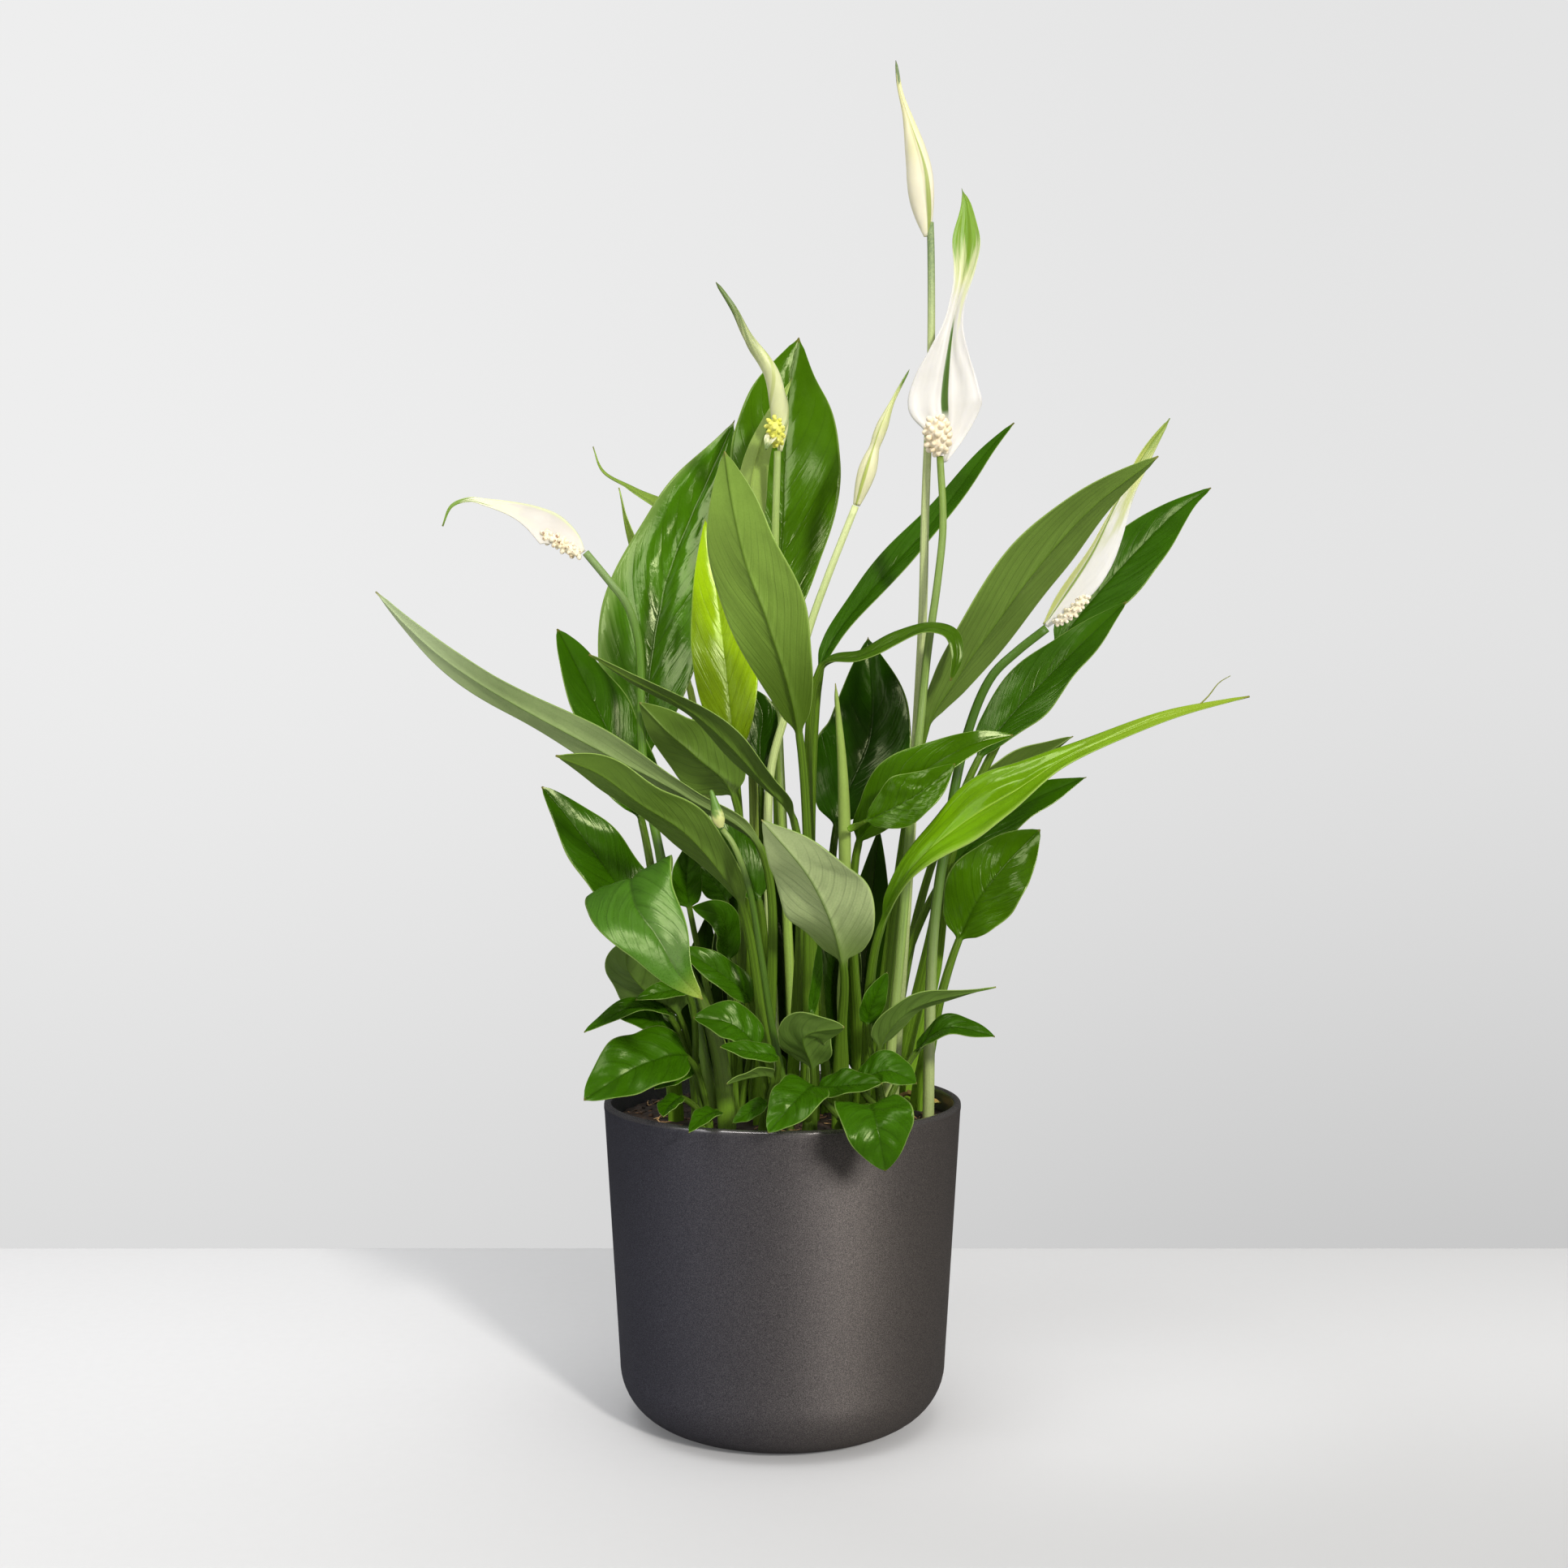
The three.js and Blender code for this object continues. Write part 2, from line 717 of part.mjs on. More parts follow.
// A new leaf still rolled to a spike.
holes.push([22, -12, 2.4]);
addNode(
  "leaf_new_spike",
  rolledGeometry({
    points: rooted(22, -12, [[24, -22, 205], [23, -27, 250], [20, -30, 285]]),
    radii: [2.2, 2, 1.9, 1.8, 1.8, 2, 2.3, 2.4, 2, 1.4, 0.6],
    sides: 8,
  }),
  MATERIALS.young,
);

// ---- Young leaves round the foot of the stems ----

addYoungLeaves("young_leaves_left", [-28, -40], [
  { path: [[-35, -44, 146], [-50, -54, 145], [-71, -66, 134]], face: [0.1, -0.7, 0.8], width: 26 },
  { path: [[-24, -56, 128], [-28, -66, 128], [-33, -74, 124]], face: [0, -0.6, 0.8], width: 8 },
  { path: [[-34, -36, 141], [-40, -42, 139], [-47, -48, 135]], face: [0, -0.7, 0.8], width: 11 },
  { path: [[-37, -50, 132], [-41, -54, 130], [-43, -60, 127]], face: [-0.3, -0.6, 0.7], width: 9 },
]);
addYoungLeaves("young_leaves_left_high", [-32, -26], [
  { path: [[-42, -36, 160], [-54, -46, 165], [-72, -56, 157]], face: [0, -0.6, 0.8], width: 9 },
  {
    path: [[-39, -34, 161], [-49, -42, 169], [-57, -48, 180], [-56, -52, 190]],
    face: [0.3, 0.8, 0.4],
    width: 28,
  },
  { path: [[-35, -44, 170], [-44, -52, 171], [-53, -58, 169]], face: [0, -0.8, 0.6], width: 8 },
  { path: [[-39, -30, 151], [-50, -36, 159], [-61, -44, 161]], face: [0, -0.8, 0.6], width: 13 },
]);
addYoungLeaves("young_leaves_front", [-6, -46], [
  { path: [[-9, -55, 150], [-18, -59, 160], [-32, -62, 163]], face: [0, -0.7, 0.7], width: 18 },
  { path: [[-2, -60, 148], [-11, -66, 151], [-22, -72, 154]], face: [0, -0.7, 0.7], width: 9 },
  { path: [[-4, -56, 141], [-11, -62, 142], [-20, -66, 140]], face: [0.2, 0.6, 0.7], width: 8 },
  { path: [[-6, -58, 132], [-11, -60, 129], [-18, -62, 125]], face: [0, -0.7, 0.7], width: 7 },
]);
addYoungLeaves("young_leaves_middle", [10, -46], [
  { path: [[11, -56, 144], [8, -66, 157], [22, -72, 161]], face: [0.2, 0.6, 0.7], width: 20 },
  { path: [[11, -62, 138], [6, -72, 136], [-5, -80, 125]], face: [0, -0.6, 0.8], width: 19 },
  { path: [[11, -38, 161], [13, -40, 176], [14, -42, 190]], face: [0, -1, 0.1], width: 4 },
]);
addYoungLeaves("young_leaves_right", [22, -44], [
  { path: [[13, -48, 134], [22, -54, 137], [36, -60, 139]], face: [0, -0.6, 0.8], width: 14 },
  { path: [[31, -68, 132], [33, -80, 128], [36, -82, 112]], face: [0, -0.8, 0.6], width: 26, rise: 0.4 },
]);
addYoungLeaves("young_leaves_right_high", [38, -34], [
  { path: [[29, -46, 136], [38, -50, 142], [49, -54, 138]], face: [0.1, -0.7, 0.7], width: 16 },
  { path: [[36, -40, 149], [47, -46, 164], [78, -52, 173]], face: [-0.2, 0.7, 0.6], width: 12, fall: 1.5 },
  { path: [[51, -24, 145], [62, -30, 155], [79.5, -36, 152.6]], face: [0, -0.6, 0.8], width: 12 },
  { path: [[32, -36, 157], [34, -38, 166], [39, -40, 177]], face: [0.2, -1, 0.2], width: 9 },
]);
addYoungLeaves("young_leaves_back_left", [-17, -20], [
  { path: [[-12, -34, 165], [-25, -40, 178], [-39, -46, 187]], face: [0, -0.8, 0.6], width: 13 },
  { path: [[-21, -20, 179], [-23, -26, 196], [-34, -34, 201]], face: [0.2, -0.8, 0.5], width: 13 },
  { path: [[-36, -12, 199], [-37, -16, 211], [-35, -20, 226]], face: [0.2, -0.9, 0.2], width: 12 },
  { path: [[-22, -4, 201], [-27, -2, 209], [-33, 0, 220]], face: [0.2, -0.9, 0.3], width: 14 },
]);

// ---- Flowers ----

addScape(
  "scape_tall",
  [44, 6],
  [
    [49, 2, 200],
    [52.5, 0, 262],
    [55, -2, 312],
    [56, -4, 357],
    [58, -6, 414],
    [58, -6, 460],
  ],
  [2.3, 1.6],
  8,
);
addNode(
  "spathe_tall",
  rolledGeometry({
    points: [[58, -6, 460.8], [52.5, -8, 489], [47, -10, 514], [44, -10, 528]],
    radii: [2, 4, 5.6, 6, 5.6, 4.8, 3.7, 2.6, 1.6, 0.6],
    seam: -0.6,
  }),
  MATERIALS.spathe,
);

addScape(
  "scape_open",
  [40, -16],
  [
    [47, -14, 200],
    [50, -14, 240],
    [53, -13.6, 268],
    [56, -13, 297],
    [60, -14, 326],
    [62, -14, 347],
    [60.8, -14.5, 373.4],
  ],
  [2.3, 1.5],
  9,
);
addNode(
  "spathe_open",
  openGeometry({
    points: [
      [61.4, -12, 372],
      [63.3, -9.4, 385],
      [63, -9, 397],
      [64, -10, 410],
      [67.4, -10, 431],
      [71, -10, 448],
      [71.2, -10, 473],
    ],
    halves: [1.4, 10.5, 14.4, 14.6, 11.4, 6.4, 3.9, 5, 5.3, 3.6, 0.6],
    lifts: [0.1, 0.1, 0.15, 0.2, 0.3, 0.6, 0.8, 0.7, 0.6, 0.4, 0.1],
    face: [0, -1, 0.1],
  }),
  MATERIALS.spathe,
);
addNode(
  "spadix_open",
  spadixGeometry({
    points: [
      [60.5, -15.4, 374.3],
      [59.5, -19.4, 381.3],
      [59.5, -20.5, 389.6],
    ],
    radius: 6.6,
  }),
  MATERIALS.spadix,
);

addScape("scape_centre", [5, 5], [[-2, 17, 280], [-3, 15, 337], [-2, 10, 380]], [2.2, 1.4], 6);
addNode(
  "spathe_centre",
  rolledGeometry({
    points: [[-1, 12.6, 380.4], [-1, 13, 392], [-4, 8, 410], [-14, 2, 424], [-19, -3, 433], [-26, -6, 443]],
    radii: [1, 3.4, 4, 3.6, 3, 2.3, 1.7, 1.2, 0.6],
    seam: 1,
    turns: 1.5,
  }),
  MATERIALS.spathe,
);
addNode(
  "spadix_centre",
  spadixGeometry({
    points: [
      [-2, 9.2, 381],
      [-2.6, 6, 385.4],
      [-3.5, 4, 392],
    ],
    radius: 2.9,
    rings: 7,
    sides: 10,
  }),
  MATERIALS.spadix,
);

addScape(
  "scape_bud",
  [-2, -12],
  [
    [-5, 4, 249],
    [1.2, 5, 275],
    [11, 6, 310],
    [18.6, 6, 331],
    [29, 6, 357.3],
  ],
  [2.1, 1.4],
  8,
);
addNode(
  "spathe_bud",
  rolledGeometry({
    points: [[29.3, 6, 357.7], [33.4, 5, 369.6], [38.4, 3, 385], [44, 1, 398], [50, 0, 410.3]],
    radii: [1.5, 3, 4, 4.1, 3.8, 3.1, 2.3, 1.4, 0.6],
    seam: 0.4,
  }),
  MATERIALS.spathe,
);

addScape(
  "scape_hooded",
  [-28, 6],
  [[-54.4, 5, 249], [-56, 5, 267], [-57, 4, 303], [-61.5, 2, 318], [-68, 0, 326.6], [-77.4, -1, 338]],
  [2.2, 1.5],
  8,
);
addNode(
  "spathe_hooded",
  openGeometry({
    points: [
      [-77, 1.4, 339.6],
      [-84, -1, 348],
      [-95, -3, 353],
      [-106, -5, 356],
      [-115, -7, 357],
      [-123, -9, 356.6],
      [-129, -10, 353],
      [-131.5, -10, 347],
    ],
    halves: [1.4, 6.4, 8.6, 8.6, 7.2, 5.4, 3.8, 2.6, 1.6, 0.6],
    lifts: [0.3, 0.8, 0.9, 0.9, 0.8, 0.7, 0.5, 0.3, 0.2, 0],
    face: [-0.25, -0.35, -0.9],
  }),
  MATERIALS.spathe,
);
addNode(
  "spadix_hooded",
  spadixGeometry({
    points: [
      [-78.8, -2.4, 337],
      [-86.4, -5, 340.6],
      [-96, -6, 344.6],
    ],
    radius: 3.2,
    rings: 9,
    sides: 10,
  }),
  MATERIALS.spadix,
);

addScape(
  "scape_folded",
  [57, -6],
  [[59.3, -2, 188], [64, -1, 223], [72.6, 0, 266], [82, -2, 289], [92, -3, 299], [103.4, -4.6, 308]],
  [2.3, 1.7],
  8,
);
addNode(
  "spathe_folded",
  openGeometry({
    points: [
      [103.1, -2, 309.4],
      [110, -2.4, 320],
      [120.7, -4, 337],
      [130.4, -6, 357],
      [140.6, -8, 375],
      [151, -8, 389.4],
    ],
    halves: [1.6, 5.5, 7.6, 8.4, 8, 6.8, 5.2, 3.7, 2.2, 0.6],
    lifts: [0.3, 0.5, 0.7, 0.8, 0.8, 0.8, 0.7, 0.5, 0.3, 0],
    face: [0.6, -0.7, 0.2],
  }),
  MATERIALS.spathe,
);
addNode(
  "spadix_folded",
  spadixGeometry({
    points: [
      [104.1, -5.3, 308.3],
      [110, -9, 312.6],
      [116.5, -12, 318],
    ],
    radius: 3.3,
    rings: 8,
    sides: 10,
  }),
  MATERIALS.spadix,
);

addScape(
  "scape_small",
  [3, -39],
  [
    [-4, -48, 159],
    [-8, -55, 186],
    [-12.2, -61, 210.4],
    [-17.7, -63.5, 225.5],
    [-21.5, -64, 230.8],
  ],
  [1.6, 1],
  7,
);
addNode(
  "spathe_small",
  rolledGeometry({
    points: [[-21.9, -64.1, 231.4], [-23.6, -64.5, 238], [-25.6, -64.5, 245]],
    radii: [1, 2.3, 2.2, 1.6, 1.1, 0.6],
    sides: 8,
  }),
  MATERIALS.spathe,
);

// ---- Soil ----

function soilGeometry() {
  const draw = seeded(11);
  const angleOf = (j) => (j / POT_SEGMENTS) * Math.PI * 2;
  const inner = FOOT_CURVE - POT_WALL;
  const rings = [];
  const level = (radius, height, rough = 0) => {
    rings.push(
      Array.from({ length: POT_SEGMENTS }, (_, j) => {
        const z = height + rough * (draw() - 0.5) * 2;
        return vector([radius * Math.sin(angleOf(j)), -radius * Math.cos(angleOf(j)), z]);
      }),
    );
  };
  const floor = POT_WALL + CLEARANCE;
  const corner = POT_SIDE_RADIUS - FOOT_CURVE;
  level(corner - CLEARANCE, floor);
  for (let i = 1; i <= 3; i++) {
    const angle = (i / 4) * (Math.PI / 2);
    level(corner + (inner - CLEARANCE) * Math.sin(angle), floor + inner * (1 - Math.cos(angle)) + 0.4);
  }
  level(POT_SIDE_RADIUS - POT_WALL - 2 * CLEARANCE, FOOT_CURVE + 2);
  const topRadius = mix(POT_SIDE_RADIUS, POT_RIM_RADIUS, 0.91) - POT_WALL - 2 * CLEARANCE;
  level(topRadius, SOIL_EDGE_HEIGHT);
  [0.86, 0.62, 0.34].forEach((share) => {
    const height = SOIL_EDGE_HEIGHT + SOIL_DOME * (1 - share * share);
    level(topRadius * share, height, SOIL_ROUGHNESS);
  });
  return loft(rings);
}

let soil = solidOf(soilGeometry());
for (const [x, y, radius] of holes) {
  const hole = new THREE.CylinderGeometry(radius + HOLE_MARGIN, radius + HOLE_MARGIN, 20, HOLE_SIDES);
  hole.rotateX(Math.PI / 2);
  hole.translate(x, y, STEM_FOOT_HEIGHT - CLEARANCE + 10);
  soil = soil.subtract(solidOf(hole));
}
addNode("soil", geometryOf(soil), MATERIALS.soil);

export default group;
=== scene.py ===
import math
import random
from types import SimpleNamespace

import bpy
from mathutils import Matrix, Vector, noise


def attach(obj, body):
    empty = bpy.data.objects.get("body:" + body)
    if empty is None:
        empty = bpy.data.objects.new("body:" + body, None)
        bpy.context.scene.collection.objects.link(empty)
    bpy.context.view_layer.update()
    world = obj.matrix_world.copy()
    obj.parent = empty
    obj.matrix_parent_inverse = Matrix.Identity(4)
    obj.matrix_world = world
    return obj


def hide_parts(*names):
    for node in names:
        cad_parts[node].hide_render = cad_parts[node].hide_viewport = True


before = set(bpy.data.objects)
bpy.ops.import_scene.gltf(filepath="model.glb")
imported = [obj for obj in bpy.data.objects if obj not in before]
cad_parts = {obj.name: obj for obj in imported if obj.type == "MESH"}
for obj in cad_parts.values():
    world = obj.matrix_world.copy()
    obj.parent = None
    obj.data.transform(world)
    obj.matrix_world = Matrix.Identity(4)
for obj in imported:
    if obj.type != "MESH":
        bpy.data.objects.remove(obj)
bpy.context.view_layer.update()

MM = 0.001
WELD = 1e-6  # metres between points that are merged
CURVE_STEPS = 24
FRONT = (0, -1, 0.1)

# Pot
POT_HEIGHT = 123.5
RIM_RADIUS = 70.0
LIP_HEIGHT = 1.4  # how far the rim rounds over at its top
SIDE_RADIUS = 63.6
FOOT_CURVE = 22.0
FOOT_CORNER = SIDE_RADIUS - FOOT_CURVE
POT_WALL = 3.0
POT_STEPS = 144

# Soil
SOIL_RADIUS = 66.0
SOIL_EDGE = 115.5
SOIL_DOME = 2.5
SOIL_GAP = 0.3  # between the soil and the pot's floor
SOIL_SIDES = 150
SOIL_RINGS = 64
CRUMB_TRIES = 620
CRUMB_REACH = 64.5
BARK_SHARE = 0.17
STEM_ROOM = 3.4  # no crumb lies nearer to the middle of a stem
FIBRE_TRIES = 70
FIBRE_REACH = 62
FIBRE_STEP = 2.6

# What each random draw starts from
CRUMB_SEED = 7
FIBRE_SEED = 23
KNOB_SEED = 1

# Stems and blades
STEM_FOOT = 108.0
STEM_COLLAR = 120.5
SPIKE_ROOT = [22, -12]
STUB_MIDDLE = 114  # of the short stub that a bunch of young leaves rises from
STUB_RADII = [3.6, 3.5, 2.4, 1.2]
YOUNG_SPREAD = 1.3  # how far from the stub's middle each of them starts
HAIR_RADII = [0.32, 0.22, 0.12]
STALK_SHARE = 0.25  # the part of a leaf's UV length that its stalk takes
ACROSS = [0, 0.03, 0.07, 0.13, 0.22, 0.34, 0.48, 0.64, 0.81, 0.93, 1]
LEAF_SKIN = 0.27  # half the thickness of a leaf at its midrib
SPATHE_SKIN = 0.24  # the same of a spathe
MARGIN_SHARE = 0.55  # of that thickness, at the margin
KEEL_DEPTH = 1.05  # the keel under the midrib, in radii of the stalk
KEEL_WIDTH = 0.95
GROOVE_DEPTH = 0.32  # the groove over the midrib
GROOVE_WIDTH = 0.8
LEAF_ARCH = 0.045
SPATHE_ARCH = 0.05
WAVES = 2.2  # times that a leaf's margins rise and fall

# What a leaf has unless its own row says otherwise. rows: rings on the stalk and on the blade.
# face_at: how far along the blade the face is given, where there are no halves.
GROWN = dict(rows=(26, 92), stalk=[2.6, 1.5], sheath=0.55, halves=None, face_at=4 / 9, rise=0.72, fall=1.05,
             fold=0.22, wave=0.1, phase=0, folds=9, sweep=0.34, pleat=0.02, quilt=0.011, lobe=0)
SMALL = dict(GROWN, rows=(10, 44), stalk=[1.5, 1.1], sheath=0.3, face_at=0.5, rise=0.5, fall=0.82, folds=5,
             sweep=0.24, quilt=0.032)


def mix(a, b, f):
    return a + (b - a) * f


def smooth(f):
    f = min(max(f, 0.0), 1.0)
    return f * f * (3 - 2 * f)


def tint(red, green, blue):
    """A colour named from 0 to 255, as a shader's linear value."""
    linear = []
    for c in (red / 255, green / 255, blue / 255):
        linear.append(c / 12.92 if c <= 0.04045 else ((c + 0.055) / 1.055) ** 2.4)
    return (*linear, 1.0)


def shade(colour, factor):
    return (*[min(c * factor, 1.0) for c in colour[:3]], 1.0)


# ---- Lines that leaves and stems grow along ----


class Line:
    """A smooth line through points, read by the length along it."""

    def __init__(self, points):
        known = [Vector(p) for p in points]
        ends = [known[0] * 2 - known[1], *known, known[-1] * 2 - known[-2]]
        self.places = [known[0].copy()]
        for i in range(len(known) - 1):
            before, a, b, after = ends[i : i + 4]
            step = [math.sqrt((q - p).length) for p, q in ((before, a), (a, b), (b, after))]
            start = (a - before) / step[0] - (b - before) / (step[0] + step[1]) + (b - a) / step[1]
            end = (b - a) / step[1] - (after - a) / (step[1] + step[2]) + (after - b) / step[2]
            start *= step[1]
            end *= step[1]
            for k in range(1, CURVE_STEPS + 1):
                t = k / CURVE_STEPS
                place = a + start * t
                place += (b * 3 - a * 3 - start * 2 - end) * t**2
                place += (a * 2 - b * 2 + start + end) * t**3
                self.places.append(place)
        self.lengths = [0.0]
        for p, q in zip(self.places, self.places[1:]):
            self.lengths.append(self.lengths[-1] + (q - p).length)
        self.total = self.lengths[-1]

    def mark(self, k):
        """The length at the k-th given point."""
        return self.lengths[k * CURVE_STEPS]

    def at(self, s):
        s = min(max(s, 0), self.total)
        i = 1
        while i < len(self.lengths) - 1 and self.lengths[i] < s:
            i += 1
        f = (s - self.lengths[i - 1]) / (self.lengths[i] - self.lengths[i - 1])
        return self.places[i - 1].lerp(self.places[i], f)

    def along(self, s):
        reach = self.total * 0.01
        return (self.at(s + reach) - self.at(s - reach)).normalized()


class Stance:
    """A place on a line with its axes along, across and up."""

    def __init__(self, place, along):
        self.place = place
        self.along = along
        self.across = None
        self.up = None

    def point(self, x, z):
        return self.place + self.across * x + self.up * z


def stances(line, stations, face, reference):
    """The face is given at one station, and its axes are carried along the line from there."""
    rows = [Stance(line.at(s), line.along(s)) for s in stations]
    rows[reference].across = Vector(face).cross(rows[reference].along).normalized()
    order = [(i - 1, i) for i in range(reference + 1, len(rows))]
    order += [(i + 1, i) for i in range(reference - 1, -1, -1)]
    for known, new in order:
        across = rows[known].across.copy()
        across -= rows[new].along * across.dot(rows[new].along)
        rows[new].across = across.normalized()
    for row in rows:
        row.up = row.along.cross(row.across).normalized()
    return rows


def even(count, start, end):
    return [mix(start, end, i / count) for i in range(count + 1)]


def value_along(values, f):
    """A smooth reading of an even list, f from 0 to 1, kept close to the two values beside it."""
    spot = min(max(f, 0), 1) * (len(values) - 1)
    i = min(int(spot), len(values) - 2)
    t = spot - i
    a, b = values[i], values[i + 1]
    before = values[i - 1] if i else 2 * a - b
    after = values[i + 2] if i + 2 < len(values) else 2 * b - a
    rise, fall = (b - before) / 2, (after - a) / 2
    bent = a + rise * t + (3 * b - 3 * a - 2 * rise - fall) * t**2
    bent += (2 * a - 2 * b + rise + fall) * t**3
    return min(max(bent, min(a, b) * 0.9), max(a, b) * 1.06)


# ---- Making pieces ----


def pick(*pieces):
    """Selects these pieces alone, and makes the first one active."""
    bpy.ops.object.select_all(action="DESELECT")
    for piece in pieces:
        piece.select_set(True)
    if pieces:
        bpy.context.view_layer.objects.active = pieces[0]


def placed(name, data):
    thing = bpy.data.objects.new(name, data)
    bpy.context.collection.objects.link(thing)
    return thing


def copy_of(model):
    copy = model.copy()
    copy.data = model.data.copy()
    bpy.context.collection.objects.link(copy)
    return copy


def weld():
    """Merges the active piece's doubles, turns its faces outwards and smooths it."""
    bpy.ops.object.mode_set(mode="EDIT")
    bpy.ops.mesh.select_all(action="SELECT")
    bpy.ops.mesh.remove_doubles(threshold=WELD)
    bpy.ops.mesh.normals_make_consistent(inside=False)
    bpy.ops.object.mode_set(mode="OBJECT")
    bpy.ops.object.shade_smooth()


def rolled_blank(name, rings, uvs):
    """A flat grid rolled into a skin. Each ring closes on itself, and both ends close in a single point."""
    for end, spot in ((0, 0), (-1, len(rings) + 1)):
        middle = sum(rings[end], Vector()) / len(rings[end])
        rings.insert(spot, [middle] * len(rings[0]))
        uvs.insert(spot, list(uvs[end]))
    rows, columns = len(rings) - 1, len(rings[0])
    pick()
    bpy.ops.mesh.primitive_grid_add(x_subdivisions=columns, y_subdivisions=rows, size=2)
    piece = bpy.context.object
    piece.name = piece.data.name = name
    mesh = piece.data
    if not mesh.uv_layers:
        mesh.uv_layers.new(name="UVMap")
    seats = []
    for vertex in mesh.vertices:
        column = round((vertex.co.x + 1) / 2 * columns)
        row = round((vertex.co.y + 1) / 2 * rows)
        seats.append((row, column))
        vertex.co = rings[row][column % columns] * MM
    layer = mesh.uv_layers[0]
    layer.name = "UVMap"
    for loop in mesh.loops:
        row, column = seats[loop.vertex_index]
        layer.data[loop.index].uv = uvs[row][column]
    weld()
    return piece


def joined(name, pieces):
    pick(*pieces)
    if len(pieces) > 1:
        bpy.ops.object.join()
    pieces[0].name = pieces[0].data.name = name
    return pieces[0]


def finished(piece, material, slot, *nodes):
    """The piece gets its material and its place on the object, and the CAD nodes it stands for are hidden."""
    piece.data.materials.clear()
    piece.data.materials.append(material)
    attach(piece, "root")
    if nodes:
        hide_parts(*nodes)
    return piece


# ---- Shader nodes ----


def bare_tree(owner):
    """The owner's node tree, emptied."""
    owner.use_nodes = True
    owner.node_tree.nodes.clear()
    return owner.node_tree


def wire(tree, kind, inputs=(), **settings):
    """One shader node with its settings and inputs. An input is a value or another node's output."""
    made = tree.nodes.new("ShaderNode" + kind)
    for key, value in settings.items():
        setattr(made, key, value)
    for key, value in dict(inputs).items():
        if isinstance(value, bpy.types.NodeSocket):
            tree.links.new(value, made.inputs[key])
        else:
            made.inputs[key].default_value = value
    return made


def calc(tree, operation, *terms, clamp=False):
    return wire(tree, "Math", enumerate(terms), operation=operation, use_clamp=clamp).outputs[0]


def times(tree, a, b):
    return calc(tree, "MULTIPLY", a, b)


def line_of(tree, value, factor, rest):
    """The value times the factor, plus the rest."""
    return calc(tree, "MULTIPLY_ADD", value, factor, rest)


def ease(tree, value, low, high, start=0.0, end=1.0):
    """Goes smoothly from start to end as the value goes from low to high."""
    terms = {"Value": value, "From Min": low, "From Max": high, "To Min": start, "To Max": end}
    return wire(tree, "MapRange", terms, interpolation_type="SMOOTHSTEP").outputs[0]


def blend(tree, factor, a, b):
    return wire(tree, "Mix", {0: factor, 6: a, 7: b}, data_type="RGBA").outputs[2]


def layered(tree, colour, *layers):
    """Blends one colour after another over the first, each as far as its mark times its share."""
    for mark, share, over in layers:
        colour = blend(tree, times(tree, mark, share), colour, over)
    return colour


def grain(tree, place, scale, detail=3.0, rough=0.5):
    terms = {"Vector": place, "Scale": scale, "Detail": detail, "Roughness": rough}
    return wire(tree, "TexNoise", terms).outputs[0]


def stripes(tree, uv, around, along):
    """Fine stripes that run along a stem."""
    lanes = wire(tree, "Mapping", {"Vector": uv, "Scale": (around, along, 1.0)}).outputs[0]
    return ease(tree, grain(tree, lanes, 1.0, 3.0, 0.6), 0.3, 0.7)


def split(tree, vector):
    return wire(tree, "SeparateXYZ", {0: vector}).outputs


def new_material(name):
    material = bpy.data.materials.new(name)
    tree = bare_tree(material)
    skin = tree.nodes.new("ShaderNodeBsdfPrincipled")
    out = tree.nodes.new("ShaderNodeOutputMaterial")
    tree.links.new(skin.outputs[0], out.inputs[0])
    return material, tree, skin


def feed(tree, skin, colour, rough, height, distance, strength):
    tree.links.new(colour, skin.inputs["Base Color"])
    tree.links.new(rough, skin.inputs["Roughness"])
    bump = wire(tree, "Bump", {"Height": height, "Distance": distance, "Strength": strength})
    tree.links.new(bump.outputs[0], skin.inputs["Normal"])


